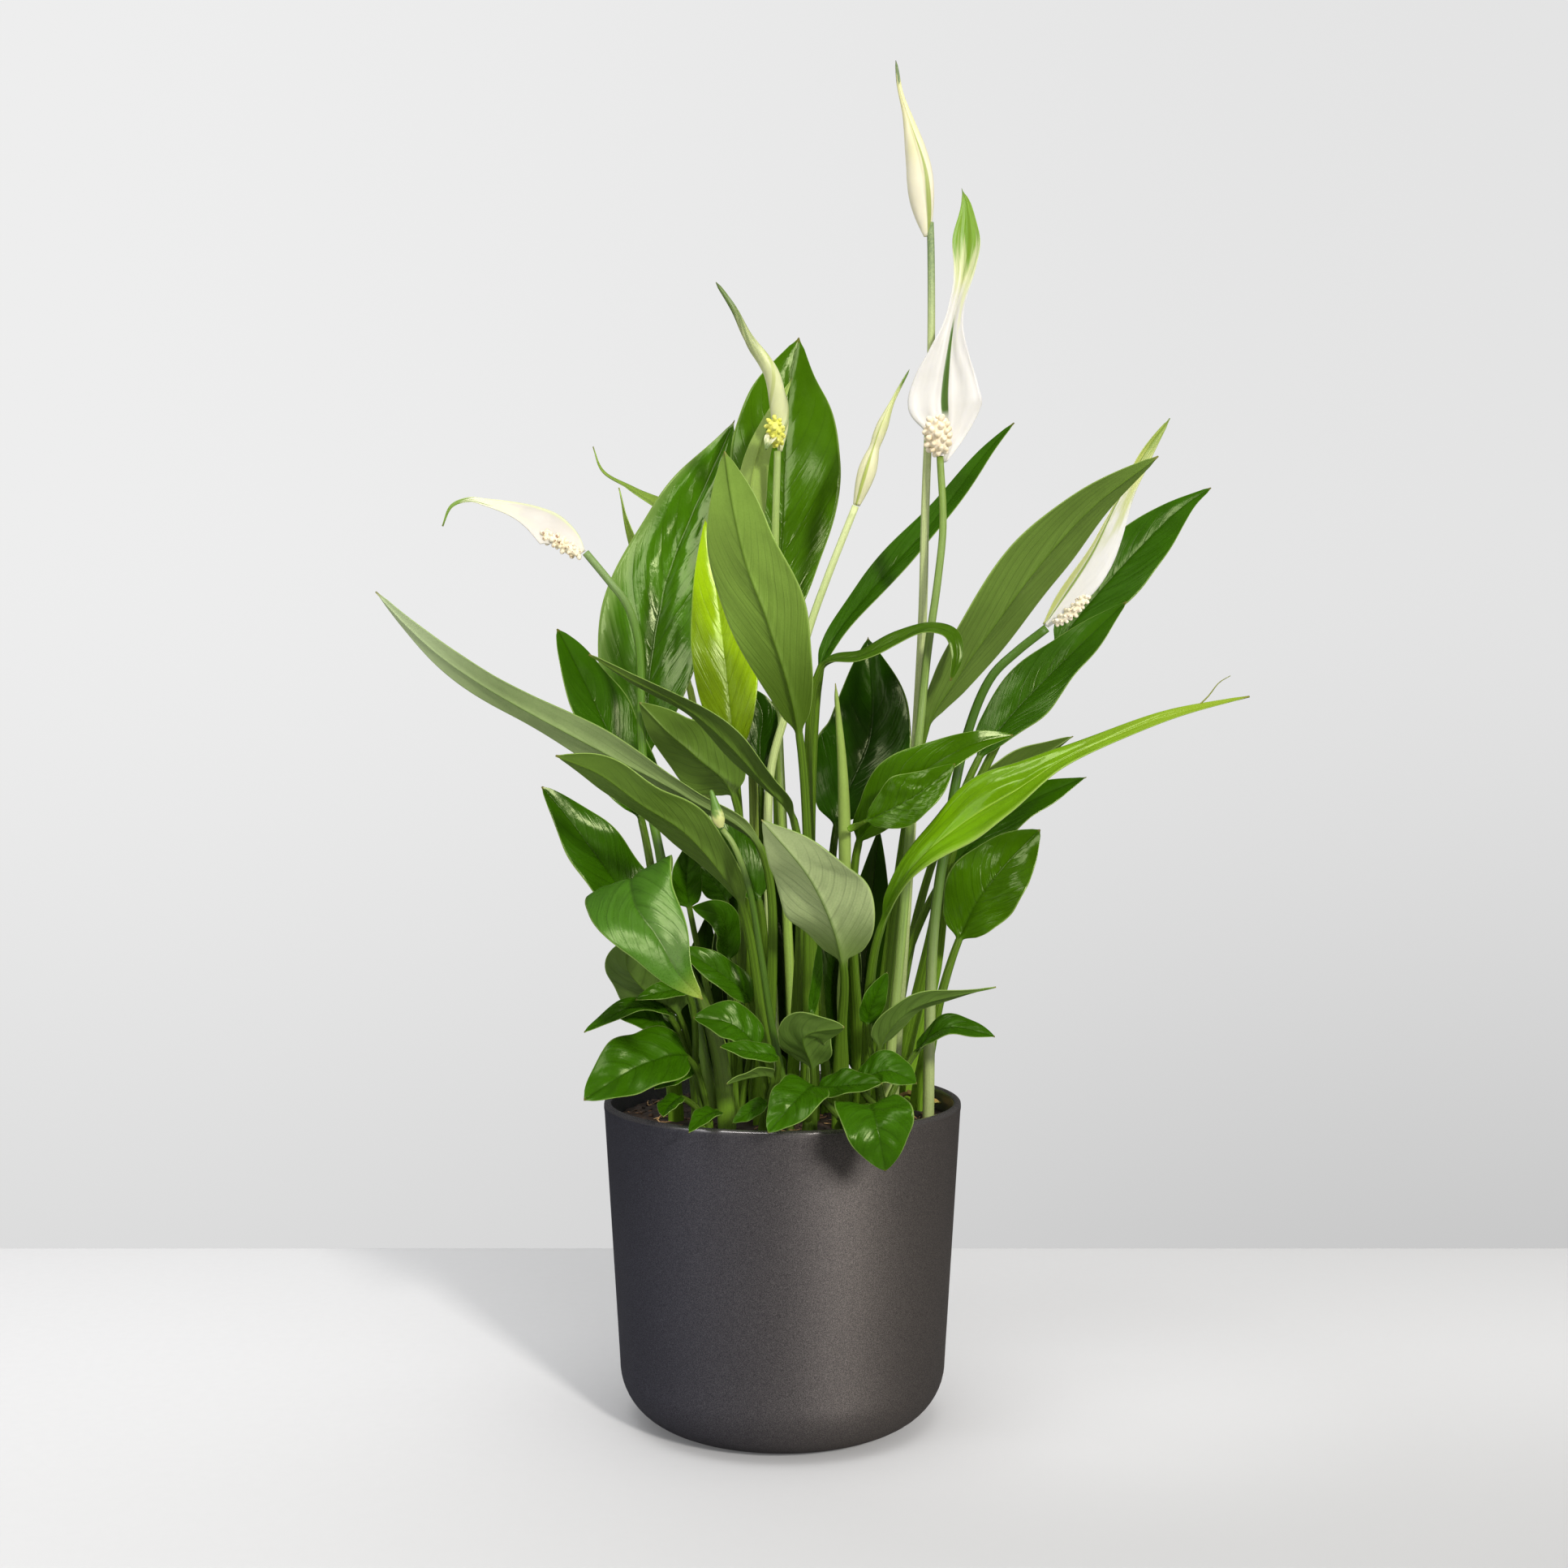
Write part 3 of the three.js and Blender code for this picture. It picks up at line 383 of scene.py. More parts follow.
def blade_marks_group():
    """Reads a blade's own UV: where its sides, midrib, side veins, margin and stalk are."""
    tree = bpy.data.node_groups.new("blade_marks", "ShaderNodeTree")
    outputs = ["Under", "Side", "Across", "Along", "Stalk", "Rib", "Vein", "Fine", "Streak", "Margin"]
    for label in ("UV", "Veins", "Sweep", "Calm"):
        kind = "NodeSocketVector" if label == "UV" else "NodeSocketFloat"
        tree.interface.new_socket(name=label, in_out="INPUT", socket_type=kind)
    for label in outputs:
        tree.interface.new_socket(name=label, in_out="OUTPUT", socket_type="NodeSocketFloat")
    given = tree.nodes.new("NodeGroupInput").outputs
    result = tree.nodes.new("NodeGroupOutput").inputs
    calm = given["Calm"]
    u, v, _ = split(tree, given["UV"])
    under = calc(tree, "GREATER_THAN", u, 0.5)
    side = calc(tree, "FRACT", times(tree, u, 2.0))
    signed = times(tree, line_of(tree, side, 2.0, -1.0), line_of(tree, under, -2.0, 1.0))
    across = calc(tree, "ABSOLUTE", signed)
    past_neck = calc(tree, "SUBTRACT", v, STALK_SHARE)
    along = calc(tree, "DIVIDE", past_neck, 1 - STALK_SHARE, clamp=True)
    stalk = ease(tree, v, STALK_SHARE - 0.01, STALK_SHARE + 0.03, 1.0, 0.0)
    blade = calc(tree, "SUBTRACT", 1.0, stalk)
    ends = calc(tree, "POWER", calc(tree, "ABSOLUTE", line_of(tree, along, 2.0, -1.0)), 6.0)
    rib_width = line_of(tree, ends, 0.3, 0.05)
    rib = calc(tree, "SUBTRACT", 1.0, calc(tree, "DIVIDE", across, rib_width, clamp=True))
    lag = times(tree, calc(tree, "POWER", across, 1.25), given["Sweep"])
    phase = times(tree, calc(tree, "SUBTRACT", along, lag), given["Veins"])
    inside = times(tree, blade, ease(tree, across, 0.9, 1.0, 1.0, 0.0))
    veins = []
    # the side veins, then the finer lines between them
    for often, sharp, later in ((1.0, 8.0, 0.12), (4.0, 3.0, 0.0)):
        turn = calc(tree, "FRACT", times(tree, phase, often))
        away = calc(tree, "ABSOLUTE", line_of(tree, turn, 2.0, -1.0))
        gone = calc(tree, "ADD", calm, later)
        fading = ease(tree, along, calc(tree, "SUBTRACT", gone, 0.3), gone, 1.0, 0.0)
        veins.append(times(tree, calc(tree, "POWER", away, sharp), times(tree, inside, fading)))
    lanes = {0: times(tree, phase, 2.6), 1: times(tree, signed, 1.8), 2: under}
    lanes = wire(tree, "CombineXYZ", lanes).outputs[0]
    streak = times(tree, ease(tree, grain(tree, lanes, 1.0, 2.5, 0.6), 0.3, 0.7), blade)
    streak = times(tree, streak, ease(tree, along, calc(tree, "SUBTRACT", calm, 0.3), calm, 1.0, 0.0))
    margin = times(tree, ease(tree, across, 0.955, 0.995), blade)
    for label, value in zip(outputs, (under, signed, across, along, stalk, rib, *veins, streak, margin)):
        tree.links.new(value, result[label])
    return tree


blade_marks = blade_marks_group()


def marks_on(tree, veins, sweep, calm):
    at = wire(tree, "TexCoord").outputs
    marks = {"UV": at["UV"], "Veins": veins, "Sweep": sweep, "Calm": calm}
    return at["Object"], at["UV"], wire(tree, "Group", marks, node_tree=blade_marks).outputs


# ---- Materials ----


def leaf_material(name, upper, under, stalk, rib=None, shine=0.3, veins=10.0, sweep=0.34, base=None,
                  edge=None, tip=None, calm=0.8, level=0.36):
    """Glossy above, paler and duller below, with a midrib, swept side veins and a striped stalk.
    base, edge and tip are a colour with where it starts or ends; on leaf_sheen the edge is a painted sheen
    and on leaf_olive_front the base is painted shade."""
    material, tree, skin = new_material(name)
    place, uv, marks = marks_on(tree, veins, sweep, calm)
    upper, under, stalk = tint(*upper), tint(*under), tint(*stalk)
    streak, vein, fine, along = marks["Streak"], marks["Vein"], marks["Fine"], marks["Along"]
    rib = tint(*rib) if rib else shade(upper, 0.5)
    patches = ease(tree, grain(tree, place, 38.0, 4.0, 0.55), 0.32, 0.68)
    cells = grain(tree, place, 1500.0, 2.0, 0.6)
    top = layered(tree, blend(tree, patches, shade(upper, 0.78), shade(upper, 1.15)),
                  (streak, 0.5, shade(upper, 1.4)), (vein, 0.42, shade(upper, 0.5)),
                  (fine, 0.12, shade(upper, 0.6)), (marks["Rib"], 0.75, rib))
    low = layered(tree, blend(tree, patches, shade(under, 0.86), shade(under, 1.1)),
                  (streak, 0.5, shade(under, 1.3)), (vein, 0.5, shade(under, 0.55)),
                  (fine, 0.26, shade(under, 0.6)), (marks["Rib"], 0.8, shade(stalk, 0.8)))
    both = blend(tree, marks["Under"], top, low)
    both = blend(tree, ease(tree, cells, 0.35, 0.7, 0.0, 0.14), both, shade(upper, 1.7))
    if base:
        both = blend(tree, ease(tree, along, 0.0, base[1], 0.9, 0.0), both, tint(*base[0]))
    if tip:
        both = blend(tree, ease(tree, along, tip[1], 1.0, 0.0, 0.85), both, tint(*tip[0]))
    if edge:
        ragged = line_of(tree, streak, 0.14, times(tree, marks["Side"], edge[1]))
        both = blend(tree, ease(tree, ragged, edge[2], edge[2] + 0.35, 0.0, 0.6), both, tint(*edge[0]))
    both = layered(tree, both, (marks["Margin"], 0.5, tint(156, 182, 96)))
    both = blend(tree, ease(tree, along, 0.975, 1.0, 0.0, 0.7), both, tint(110, 96, 50))
    lines = stripes(tree, uv, 46.0, 3.0)
    rod = blend(tree, lines, shade(stalk, 0.52), shade(stalk, 1.34))
    rod = blend(tree, ease(tree, split(tree, uv)[1], 0.0, 0.13, 0.7, 0.0), rod, shade(stalk, 2.4))
    dull = line_of(tree, marks["Under"], 0.24, shine)
    dull = line_of(tree, streak, 0.08, dull)
    dull = line_of(tree, cells, 0.08, dull)
    turned = line_of(tree, marks["Under"], 0.5, -0.2)
    height = times(tree, line_of(tree, fine, 0.2, vein), turned)
    height = line_of(tree, streak, 0.4, height)
    height = calc(tree, "ADD", height, times(tree, cells, 0.04))
    height = calc(tree, "ADD", height, times(tree, grain(tree, place, 260.0, 2.0, 0.5), 0.7))
    height = line_of(tree, times(tree, lines, marks["Stalk"]), 0.8, height)
    feed(tree, skin, blend(tree, marks["Stalk"], both, rod), dull, height, 0.00022, 0.8)
    skin.inputs["Specular IOR Level"].default_value = level
    skin.inputs["Specular Tint"].default_value = (0.92, 1.0, 0.55, 1.0)
    return material


def spathe_material(name, inner, outer, tip, tip_span, rib, rib_share=0.5, rib_span=(0.0, 1.0), rib_wide=0.05,
                    flush=None, seam=None, edge=None):
    """Petal-like skin, greening towards its tip, along its midrib and at a rolled one's seam."""
    material, tree, skin = new_material(name)
    place, _, marks = marks_on(tree, 1.6, 0.4, 1.3)
    inner, outer, tip = tint(*inner), tint(*outer), tint(*tip)
    along, across, streak = marks["Along"], marks["Across"], marks["Streak"]
    patches = ease(tree, grain(tree, place, 70.0, 4.0, 0.55), 0.35, 0.65)
    cells = grain(tree, place, 1300.0, 2.0, 0.6)
    # painted shade: darker lines along the streaks, front and back, for the shade in the spathe's fine folds
    front = layered(tree, blend(tree, patches, shade(inner, 0.93), inner), (streak, 0.55, shade(inner, 0.82)))
    back = layered(tree, blend(tree, patches, shade(outer, 0.92), shade(outer, 1.04)),
                   (streak, 0.4, shade(outer, 0.82)))
    both = blend(tree, marks["Under"], front, back)
    ragged = line_of(tree, calc(tree, "SUBTRACT", streak, 0.5), 0.22, along)
    ragged = line_of(tree, marks["Rib"], 0.04, ragged)
    if flush:
        both = blend(tree, ease(tree, ragged, flush[1], flush[2], 0.0, 0.9), both, tint(*flush[0]))
    if edge:
        side = times(tree, marks["Side"], edge[1])
        both = blend(tree, ease(tree, side, edge[2], edge[2] + 0.45, 0.0, 0.9), both, tint(*edge[0]))
    inside = times(tree, ease(tree, along, rib_span[0], rib_span[0] + 0.04),
                   ease(tree, along, rib_span[1] - 0.1, rib_span[1], 1.0, 0.0))
    strength = line_of(tree, inside, rib_share, 0.12)
    near = ease(tree, across, rib_wide, rib_wide + 0.05, 1.0, 0.0)
    both = blend(tree, calc(tree, "MULTIPLY", near, strength, clamp=True), both, tint(*rib))
    if seam:
        wide = ease(tree, along, 0.0, 0.9, 0.86, 0.96)
        mark = ease(tree, across, wide, calc(tree, "ADD", wide, 0.04))
        both = layered(tree, both, (mark, 0.85, tint(*seam)))
    both = blend(tree, ease(tree, ragged, *tip_span), both, tip)
    both = blend(tree, ease(tree, along, 0.95, 1.0, 0.0, 0.8), both, shade(tip, 0.4))
    height = line_of(tree, streak, 0.5, times(tree, cells, 0.25))
    feed(tree, skin, both, line_of(tree, cells, 0.14, 0.42), height, 0.0001, 0.5)
    skin.inputs["Subsurface Weight"].default_value = 0.2
    skin.inputs["Subsurface Radius"].default_value = (0.004, 0.004, 0.002)
    skin.inputs["Subsurface Scale"].default_value = 1.0
    return material


def spadix_material(name, body, knob, speck_and_shade_share):
    material, tree, skin = new_material(name)
    place = wire(tree, "TexCoord").outputs["Object"]
    broad = ease(tree, grain(tree, place, 300.0, 3.0, 0.6), 0.35, 0.65)
    fine = grain(tree, place, 2400.0, 3.0, 0.6)
    colour = blend(tree, broad, tint(*body), tint(*knob))
    # brown spots: partly the spadix's own specks, partly painted shade between its knobs
    spots = ease(tree, grain(tree, place, 900.0, 1.0, 0.4), 0.6, 0.68, 0.0, speck_and_shade_share)
    colour = blend(tree, spots, colour, tint(150, 104, 78))
    feed(tree, skin, colour, line_of(tree, fine, 0.2, 0.45), fine, 0.00015, 0.8)
    return material


def scape_material(name, colour, pale, top, pale_reach=0.35, top_from=0.8):
    """A flower's stem: smooth, with fine stripes along it, a paler foot and its own tone under the flower."""
    material, tree, skin = new_material(name)
    at = wire(tree, "TexCoord").outputs
    colour = tint(*colour)
    lines = stripes(tree, at["UV"], 26.0, 5.0)
    length = split(tree, at["UV"])[1]
    body = blend(tree, lines, shade(colour, 0.78), shade(colour, 1.18))
    body = blend(tree, ease(tree, length, 0.0, pale_reach, 0.85, 0.0), body, tint(*pale))
    body = blend(tree, ease(tree, length, top_from, 0.98, 0.0, 0.9), body, tint(*top))
    cells = grain(tree, at["Object"], 1400.0, 2.0, 0.6)
    body = blend(tree, ease(tree, cells, 0.4, 0.7, 0.0, 0.18), body, shade(colour, 1.5))
    height = line_of(tree, lines, 0.8, times(tree, cells, 0.3))
    feed(tree, skin, body, line_of(tree, cells, 0.14, 0.34), height, 0.00016, 0.7)
    return material


def pot_material():
    """Anthracite with a fine metallic fleck, with painted light: cooler and darker on the left (painted
    shade), warmer on the right, and lighter along the lip of the rim (painted highlight).
    """
    material, tree, skin = new_material("pot_anthracite_fleck")
    place = wire(tree, "TexCoord").outputs["Object"]
    fleck = grain(tree, place, 3200.0, 2.0, 0.7)
    haze = grain(tree, place, 22.0, 4.0, 0.5)
    x, _, z = split(tree, place)
    # painted light: the pot is cool and darker on the left and warm and lighter on the right, as if lit from
    # the right
    painted_side_light = ease(tree, x, -0.07, 0.04)
    ground = blend(tree, painted_side_light, tint(82, 82, 94), tint(97, 92, 89))
    bits = blend(tree, painted_side_light, tint(120, 120, 133), tint(142, 134, 128))
    colour = blend(tree, ease(tree, fleck, 0.4, 0.64), ground, bits)
    colour = blend(tree, ease(tree, haze, 0.3, 0.7, 0.0, 0.1), colour, tint(70, 68, 72))
    # painted highlight: the lip of the rim is painted lighter where it catches the light, and is also made
    # glossier
    lip = ease(tree, z, (POT_HEIGHT - 2.0) * MM, (POT_HEIGHT - 1.0) * MM)
    colour = layered(tree, colour, (lip, 0.4, tint(170, 166, 162)))
    dull = line_of(tree, lip, -0.26, line_of(tree, fleck, 0.1, 0.47))
    feed(tree, skin, colour, dull, fleck, 0.00008, 0.4)
    round_z = wire(tree, "Tangent", direction_type="RADIAL", axis="Z").outputs[0]
    tree.links.new(round_z, skin.inputs["Tangent"])
    skin.inputs["Metallic"].default_value = 0.86
    skin.inputs["Anisotropic"].default_value = 0.42
    skin.inputs["Anisotropic Rotation"].default_value = 0.25
    return material


def soil_material(name, dark, light, share, scale=420.0):
    material, tree, skin = new_material(name)
    dark = tint(*dark)
    place = wire(tree, "TexCoord").outputs["Object"]
    crumbs = grain(tree, place, scale, 6.0, 0.65)
    patches = grain(tree, place, 120.0, 3.0, 0.5)
    colour = blend(tree, ease(tree, crumbs, 0.38, 0.7), dark, shade(dark, 2.6))
    colour = blend(tree, ease(tree, patches, 0.5, 0.75, 0.0, share), colour, tint(*light))
    feed(tree, skin, colour, line_of(tree, crumbs, 0.15, 0.78), crumbs, 0.0006, 1.0)
    return material


# ---- Shapes ----


def circle(stance, radius, sides):
    turns = [j / sides * math.tau for j in range(sides)]
    return [stance.point(radius * math.cos(t), radius * math.sin(t)) for t in turns]


def band(sides, v):
    """One ring of UV places round a stem."""
    return [(j / sides, v) for j in range(sides + 1)]


def blade_shape(f, rise, fall):
    """How wide a blade is along its length, 0 at both ends and 1 at the widest."""
    f = min(max(f, 0.0), 1.0)
    peak = rise / (rise + fall)
    return f**rise * (1 - f) ** fall / (peak**rise * (1 - peak) ** fall)


def ring_places():
    """Across places over the upper side and back under it, with the UV share of each."""
    across = [-a for a in reversed(ACROSS)] + ACROSS[1:]
    top = [(a, True, (a + 1) / 4) for a in across]
    low = [(a, False, 0.5 + (1 - a) / 4) for a in reversed(across)]
    return top + low


RING = ring_places()
RING_U = [u for _, _, u in RING] + [1.0]


def blade_section(stance, half, rod, share, lifts, arch, ripple, thick, wing=0, lobe=0, edges=(0, 0)):
    """One ring of a leaf. share goes from 0 on the round stalk to 1 on the flat blade, wing widens the
    stalk to a sheath, lobe draws the margins back towards the stalk, and edges widen the two sides."""
    ring = []
    for a, on_top, _ in RING:
        turn = a * math.pi / 2
        size = abs(a)
        side = 0 if a < 0 else 1
        round_x = rod * (1 + 0.8 * wing) * math.sin(turn)
        round_z = rod * math.cos(turn) * (mix(1, 0.15, wing) if on_top else -1)
        x = half * a * (1 + edges[side] * size)
        rise = half * lifts[side] * size**1.1
        rise += half * arch * (1 - (2 * size - 1) ** 2)
        rise += ripple(a)
        keel = rod * KEEL_DEPTH * math.exp(-((x / (rod * KEEL_WIDTH)) ** 2))
        groove = GROOVE_DEPTH * math.exp(-((x / GROOVE_WIDTH) ** 2)) * min(rod, 1.0)
        skin = mix(thick, thick * MARGIN_SHARE, size)
        flat_z = rise + (skin - groove if on_top else -skin - keel)
        place = stance.point(mix(round_x, x, share), mix(round_z, flat_z, share))
        ring.append(place - stance.along * (lobe * size**2))
    return ring


def leaf_skin(name, points, neck, row):
    """A stalk that runs on into a blade from the neck-th point, as one closed skin."""
    leaf = SimpleNamespace(**row)
    stalk_rows, blade_rows = leaf.rows
    thick, thin = leaf.stalk
    line = Line(points)
    start = line.mark(neck)
    stations = even(stalk_rows, 0, start) + even(blade_rows, start, line.total)[1:]
    face_at = leaf.face_at
    if leaf.halves:
        places = len(leaf.halves) - 1
        face_at = (math.floor(places * 0.4) + 1) / places
    reference = stalk_rows + round(face_at * blade_rows)
    crumple = Vector((leaf.phase * 3.1 + len(name), points[0][0] * 0.1, points[0][1] * 0.1))
    rings, uvs = [], []
    for i, stance in enumerate(stances(line, stations, leaf.face, reference)):
        f = (i - stalk_rows) / blade_rows
        v = mix(STALK_SHARE, 1, f)
        if i <= stalk_rows:
            f = stations[i] / start
            v = STALK_SHARE * stations[i] / start
            rod = mix(thick, thin, f)
            wing = leaf.sheath * smooth(f / 0.1) * (1 - smooth((f - 0.4) / 0.3))
            ring = blade_section(stance, rod, rod, 0, (0, 0), 0, lambda a: 0, 0.3, wing)
        else:
            if leaf.halves:
                half = value_along(leaf.halves, f)
            else:
                half = leaf.width / 2 * blade_shape(f, leaf.rise, leaf.fall)
            half = math.hypot(thin * 0.866 * (1 - f), half)
            half = max(half, mix(0.6, 0.12, smooth((f - 0.9) / 0.1)))
            if f > 0.97:
                half *= mix(1, 0.4, (f - 0.97) / 0.03)
            swing = math.tau * WAVES * f
            lifts = [leaf.fold + leaf.wave * math.sin(swing + leaf.phase + late) for late in (0, 2)]
            rod = mix(thin, 0.3, min(1, math.sqrt(f) * 1.1))

            def ripple(a, f=f, half=half):
                size = abs(a)
                bell = math.sin(math.pi * min(size * 1.02, 1)) ** 0.8 if size < 0.98 else 0
                turn = leaf.folds * (f - leaf.sweep * size**1.25) + (0.4 if a < 0 else 0)
                wide = noise.noise(crumple + Vector((f * 5, a * 1.3, 0)))
                drift = noise.noise(crumple + Vector((f * 3, 7 if a < 0 else 3, 5)))
                pleats = math.sin(math.tau * (1.3 * size + drift)) * bell * math.sin(math.pi * f)
                quilting = leaf.quilt * math.sin(math.tau * turn) * bell
                return half * (quilting + leaf.pleat * pleats + 0.05 * wide * size)

            edges = [0.09 * noise.noise(crumple + Vector((f * 4.5, k * 9, 11))) for k in (0, 1)]
            back = leaf.lobe * half * max(0, 1 - f / 0.45) ** 1.5 * smooth(f / 0.06)
            ring = blade_section(stance, half, rod, smooth(f / 0.07), lifts, LEAF_ARCH, ripple, LEAF_SKIN,
                                 0, back, edges)
        rings.append(ring)
        uvs.append([(u, v) for u in RING_U])
    return rolled_blank(name, rings, uvs)


def rod_skin(name, points, radii, rows, sides=20):
    """A round stem. radii are read evenly along it."""
    line = Line(points)
    rings, uvs = [], []
    for i, stance in enumerate(stances(line, even(rows, 0, line.total), FRONT, 1)):
        rings.append(circle(stance, value_along(radii, i / rows), sides))
        uvs.append(band(sides, i / rows))
    return rolled_blank(name, rings, uvs)


def rolled_skin(name, points, radii, seam=0.0, turns=0.0, rows=64, sides=48):
    """A spathe still rolled round itself, its free margin standing a little proud along the seam."""
    line = Line(points)
    rings, uvs = [], []
    for i, stance in enumerate(stances(line, even(rows, 0, line.total), FRONT, 0)):
        f = i / rows
        radius = value_along(radii, f) * mix(1, 0.3, smooth((f - 0.97) / 0.03))
        ring = []
        for j in range(sides):
            share = j / (sides - 1)
            angle = seam + turns * f + j / sides * math.tau
            r = radius * (1 - 0.17 * share + 0.05 * math.exp(-share * 14))
            r *= 1 + 0.025 * math.sin(3 * angle + 5 * f)
            ring.append(stance.point(r * math.cos(angle), r * math.sin(angle)))
        rings.append(ring)
        # the free margin reads as the blade's margin, the rest as its outer side
        uvs.append([(mix(0.995, 0.52, j / sides), mix(STALK_SHARE, 1, f)) for j in range(sides + 1)])
    return rolled_blank(name, rings, uvs)


def open_skin(name, points, halves, lifts, face, rows=84, crease=0.02, pleat=0.03):
    """An open spathe: a thin blade given by its half widths and how far its margins rise."""
    line = Line(points)
    places = len(halves) - 1
    reference = round(places // 2 / places * rows)
    crumple = Vector((len(name) * 1.7, points[0][0] * 0.1, 0))
    rings, uvs = [], []
    for i, stance in enumerate(stances(line, even(rows, 0, line.total), face, reference)):
        f = i / rows
        half = value_along(halves, f) * mix(1, 0.25, smooth((f - 0.96) / 0.04))
        lift = value_along(lifts, f)

        def ripple(a, f=f, half=half):
            wide = noise.noise(crumple + Vector((f * 6, a * 1.5, 0)))
            drift = noise.noise(crumple + Vector((f * 3, 7 if a < 0 else 3, 5)))
            pleats = math.sin(math.tau * (1.7 * abs(a) + drift)) * min(1, 8 * abs(a) * (1 - abs(a)))
            return half * (crease * 2.5 * wide * abs(a) + pleat * pleats)

        rod = mix(1.2, 0.3, min(1, math.sqrt(f) * 1.1))
        rings.append(blade_section(stance, half, rod, 1, (lift, lift), SPATHE_ARCH, ripple, SPATHE_SKIN))
        uvs.append([(u, mix(STALK_SHARE, 1, f)) for u in RING_U])
    return rolled_blank(name, rings, uvs)


def spadix_piece(name, points, radius, knobs, knob_size):
    """A rounded rod with small round knobs set round it in a spiral."""
    draw = random.Random(KNOB_SEED)
    rows, sides = 26, 28
    line = Line(points)
    where = stances(line, even(rows, 0, line.total), (0.3, -1, 0.2), 0)

    def girth(f):
        return radius * math.sqrt(max(0.06, 1 - (2 * f - 1) ** 4 * 0.94))

    rings = [circle(stance, girth(i / rows) * 0.92, sides) for i, stance in enumerate(where)]
    pieces = [rolled_blank(name + "_core", rings, [band(sides, i / rows) for i in range(rows + 1)])]
    golden = math.pi * (3 - math.sqrt(5))
    pick()
    bpy.ops.mesh.primitive_uv_sphere_add(segments=8, ring_count=5, radius=knob_size * MM)
    model = bpy.context.object
    for k in range(knobs):
        f = (k + 0.5) / knobs
        i = min(int(f * rows), rows - 1)
        stance = where[i]
        angle = k * golden
        out = (stance.across * math.cos(angle) + stance.up * math.sin(angle)).normalized()
        lean = out + stance.along * (0.9 * (2 * f - 1) ** 3)
        lean.normalize()
        reach = girth(f) * draw.uniform(0.95, 1.06)
        centre = stance.place.lerp(where[i + 1].place, f * rows - i) + out * reach
        centre += stance.along * (radius * 0.35 * max(0, 2 * f - 1) ** 5)
        copy = copy_of(model)
        stretch = Matrix.Diagonal((1, 1, draw.uniform(1.05, 1.5), 1))
        size = Matrix.Scale(draw.uniform(0.82, 1.14), 4)
        turned = lean.to_track_quat("Z", "Y").to_matrix().to_4x4()
        copy.data.transform(Matrix.Translation(centre * MM) @ turned @ stretch @ size)
        pieces.append(copy)
    bpy.data.objects.remove(model)
    piece = joined(name, pieces)
    pick(piece)
    bpy.ops.object.shade_smooth()
    return piece


def foot_curve(radius, low, i, steps):
    """The i-th place on the quarter curve from the foot's flat into the side, as out and up."""
    angle = i / steps * math.pi / 2
    return FOOT_CORNER + radius * math.sin(angle), low + radius * (1 - math.cos(angle))


def pot_piece():
    """The wall's outline, drawn once from the middle of the foot to the middle of the floor, then spun."""

    def side(z):
        return mix(SIDE_RADIUS, RIM_RADIUS, (z - FOOT_CURVE) / (POT_HEIGHT - FOOT_CURVE))

    top = POT_HEIGHT - LIP_HEIGHT
    lip = RIM_RADIUS - POT_WALL / 2
    outline = [(0, 0), (FOOT_CORNER * 0.5, 0), (FOOT_CORNER, 0)]
    outline += [foot_curve(FOOT_CURVE, 0, i, 16) for i in range(1, 17)]
    outline += [(side(z), z) for z in (40, 60, 80, 100, top - 2.2)]
    outline += [(side(top) + 0.05, top - 1.2), (RIM_RADIUS - 0.05, top)]
    for i in range(1, 8):
        angle = i / 8 * math.pi
        outline.append((lip + POT_WALL / 2 * math.cos(angle), top + LIP_HEIGHT * math.sin(angle)))
    outline += [(RIM_RADIUS - POT_WALL, top), (side(80) - POT_WALL, 80), (side(40) - POT_WALL, 40)]
    outline += [foot_curve(FOOT_CURVE - POT_WALL, POT_WALL, i, 8) for i in range(8, -1, -1)]
    outline.append((0, POT_WALL))
    mesh = bpy.data.meshes.new("pot_wall")
    corners = [(r * MM, 0, z * MM) for r, z in outline]
    mesh.from_pydata(corners, [(i, i + 1) for i in range(len(corners) - 1)], [])
    piece = placed("pot_wall", mesh)
    pick(piece)
    bpy.ops.object.mode_set(mode="EDIT")
    bpy.ops.mesh.select_all(action="SELECT")
    bpy.ops.mesh.spin(steps=POT_STEPS, angle=math.tau, center=(0, 0, 0), axis=(0, 0, 1))
    bpy.ops.object.mode_set(mode="OBJECT")
    weld()
    return piece


def soil_height(x, y):
    """The soil's surface in millimetres: a low dome with lumps and crumbs."""
    share = math.hypot(x, y) / SOIL_RADIUS
    spot = Vector((x, y, 0))
    lumps = 1.1 * noise.noise(spot * 0.11) + 0.8 * noise.noise(spot * 0.3)
    crumbs = 0.55 * noise.noise(spot * 0.9) + 0.3 * noise.noise(spot * 2.1)
    return SOIL_EDGE + SOIL_DOME * (1 - share**2) + lumps + crumbs


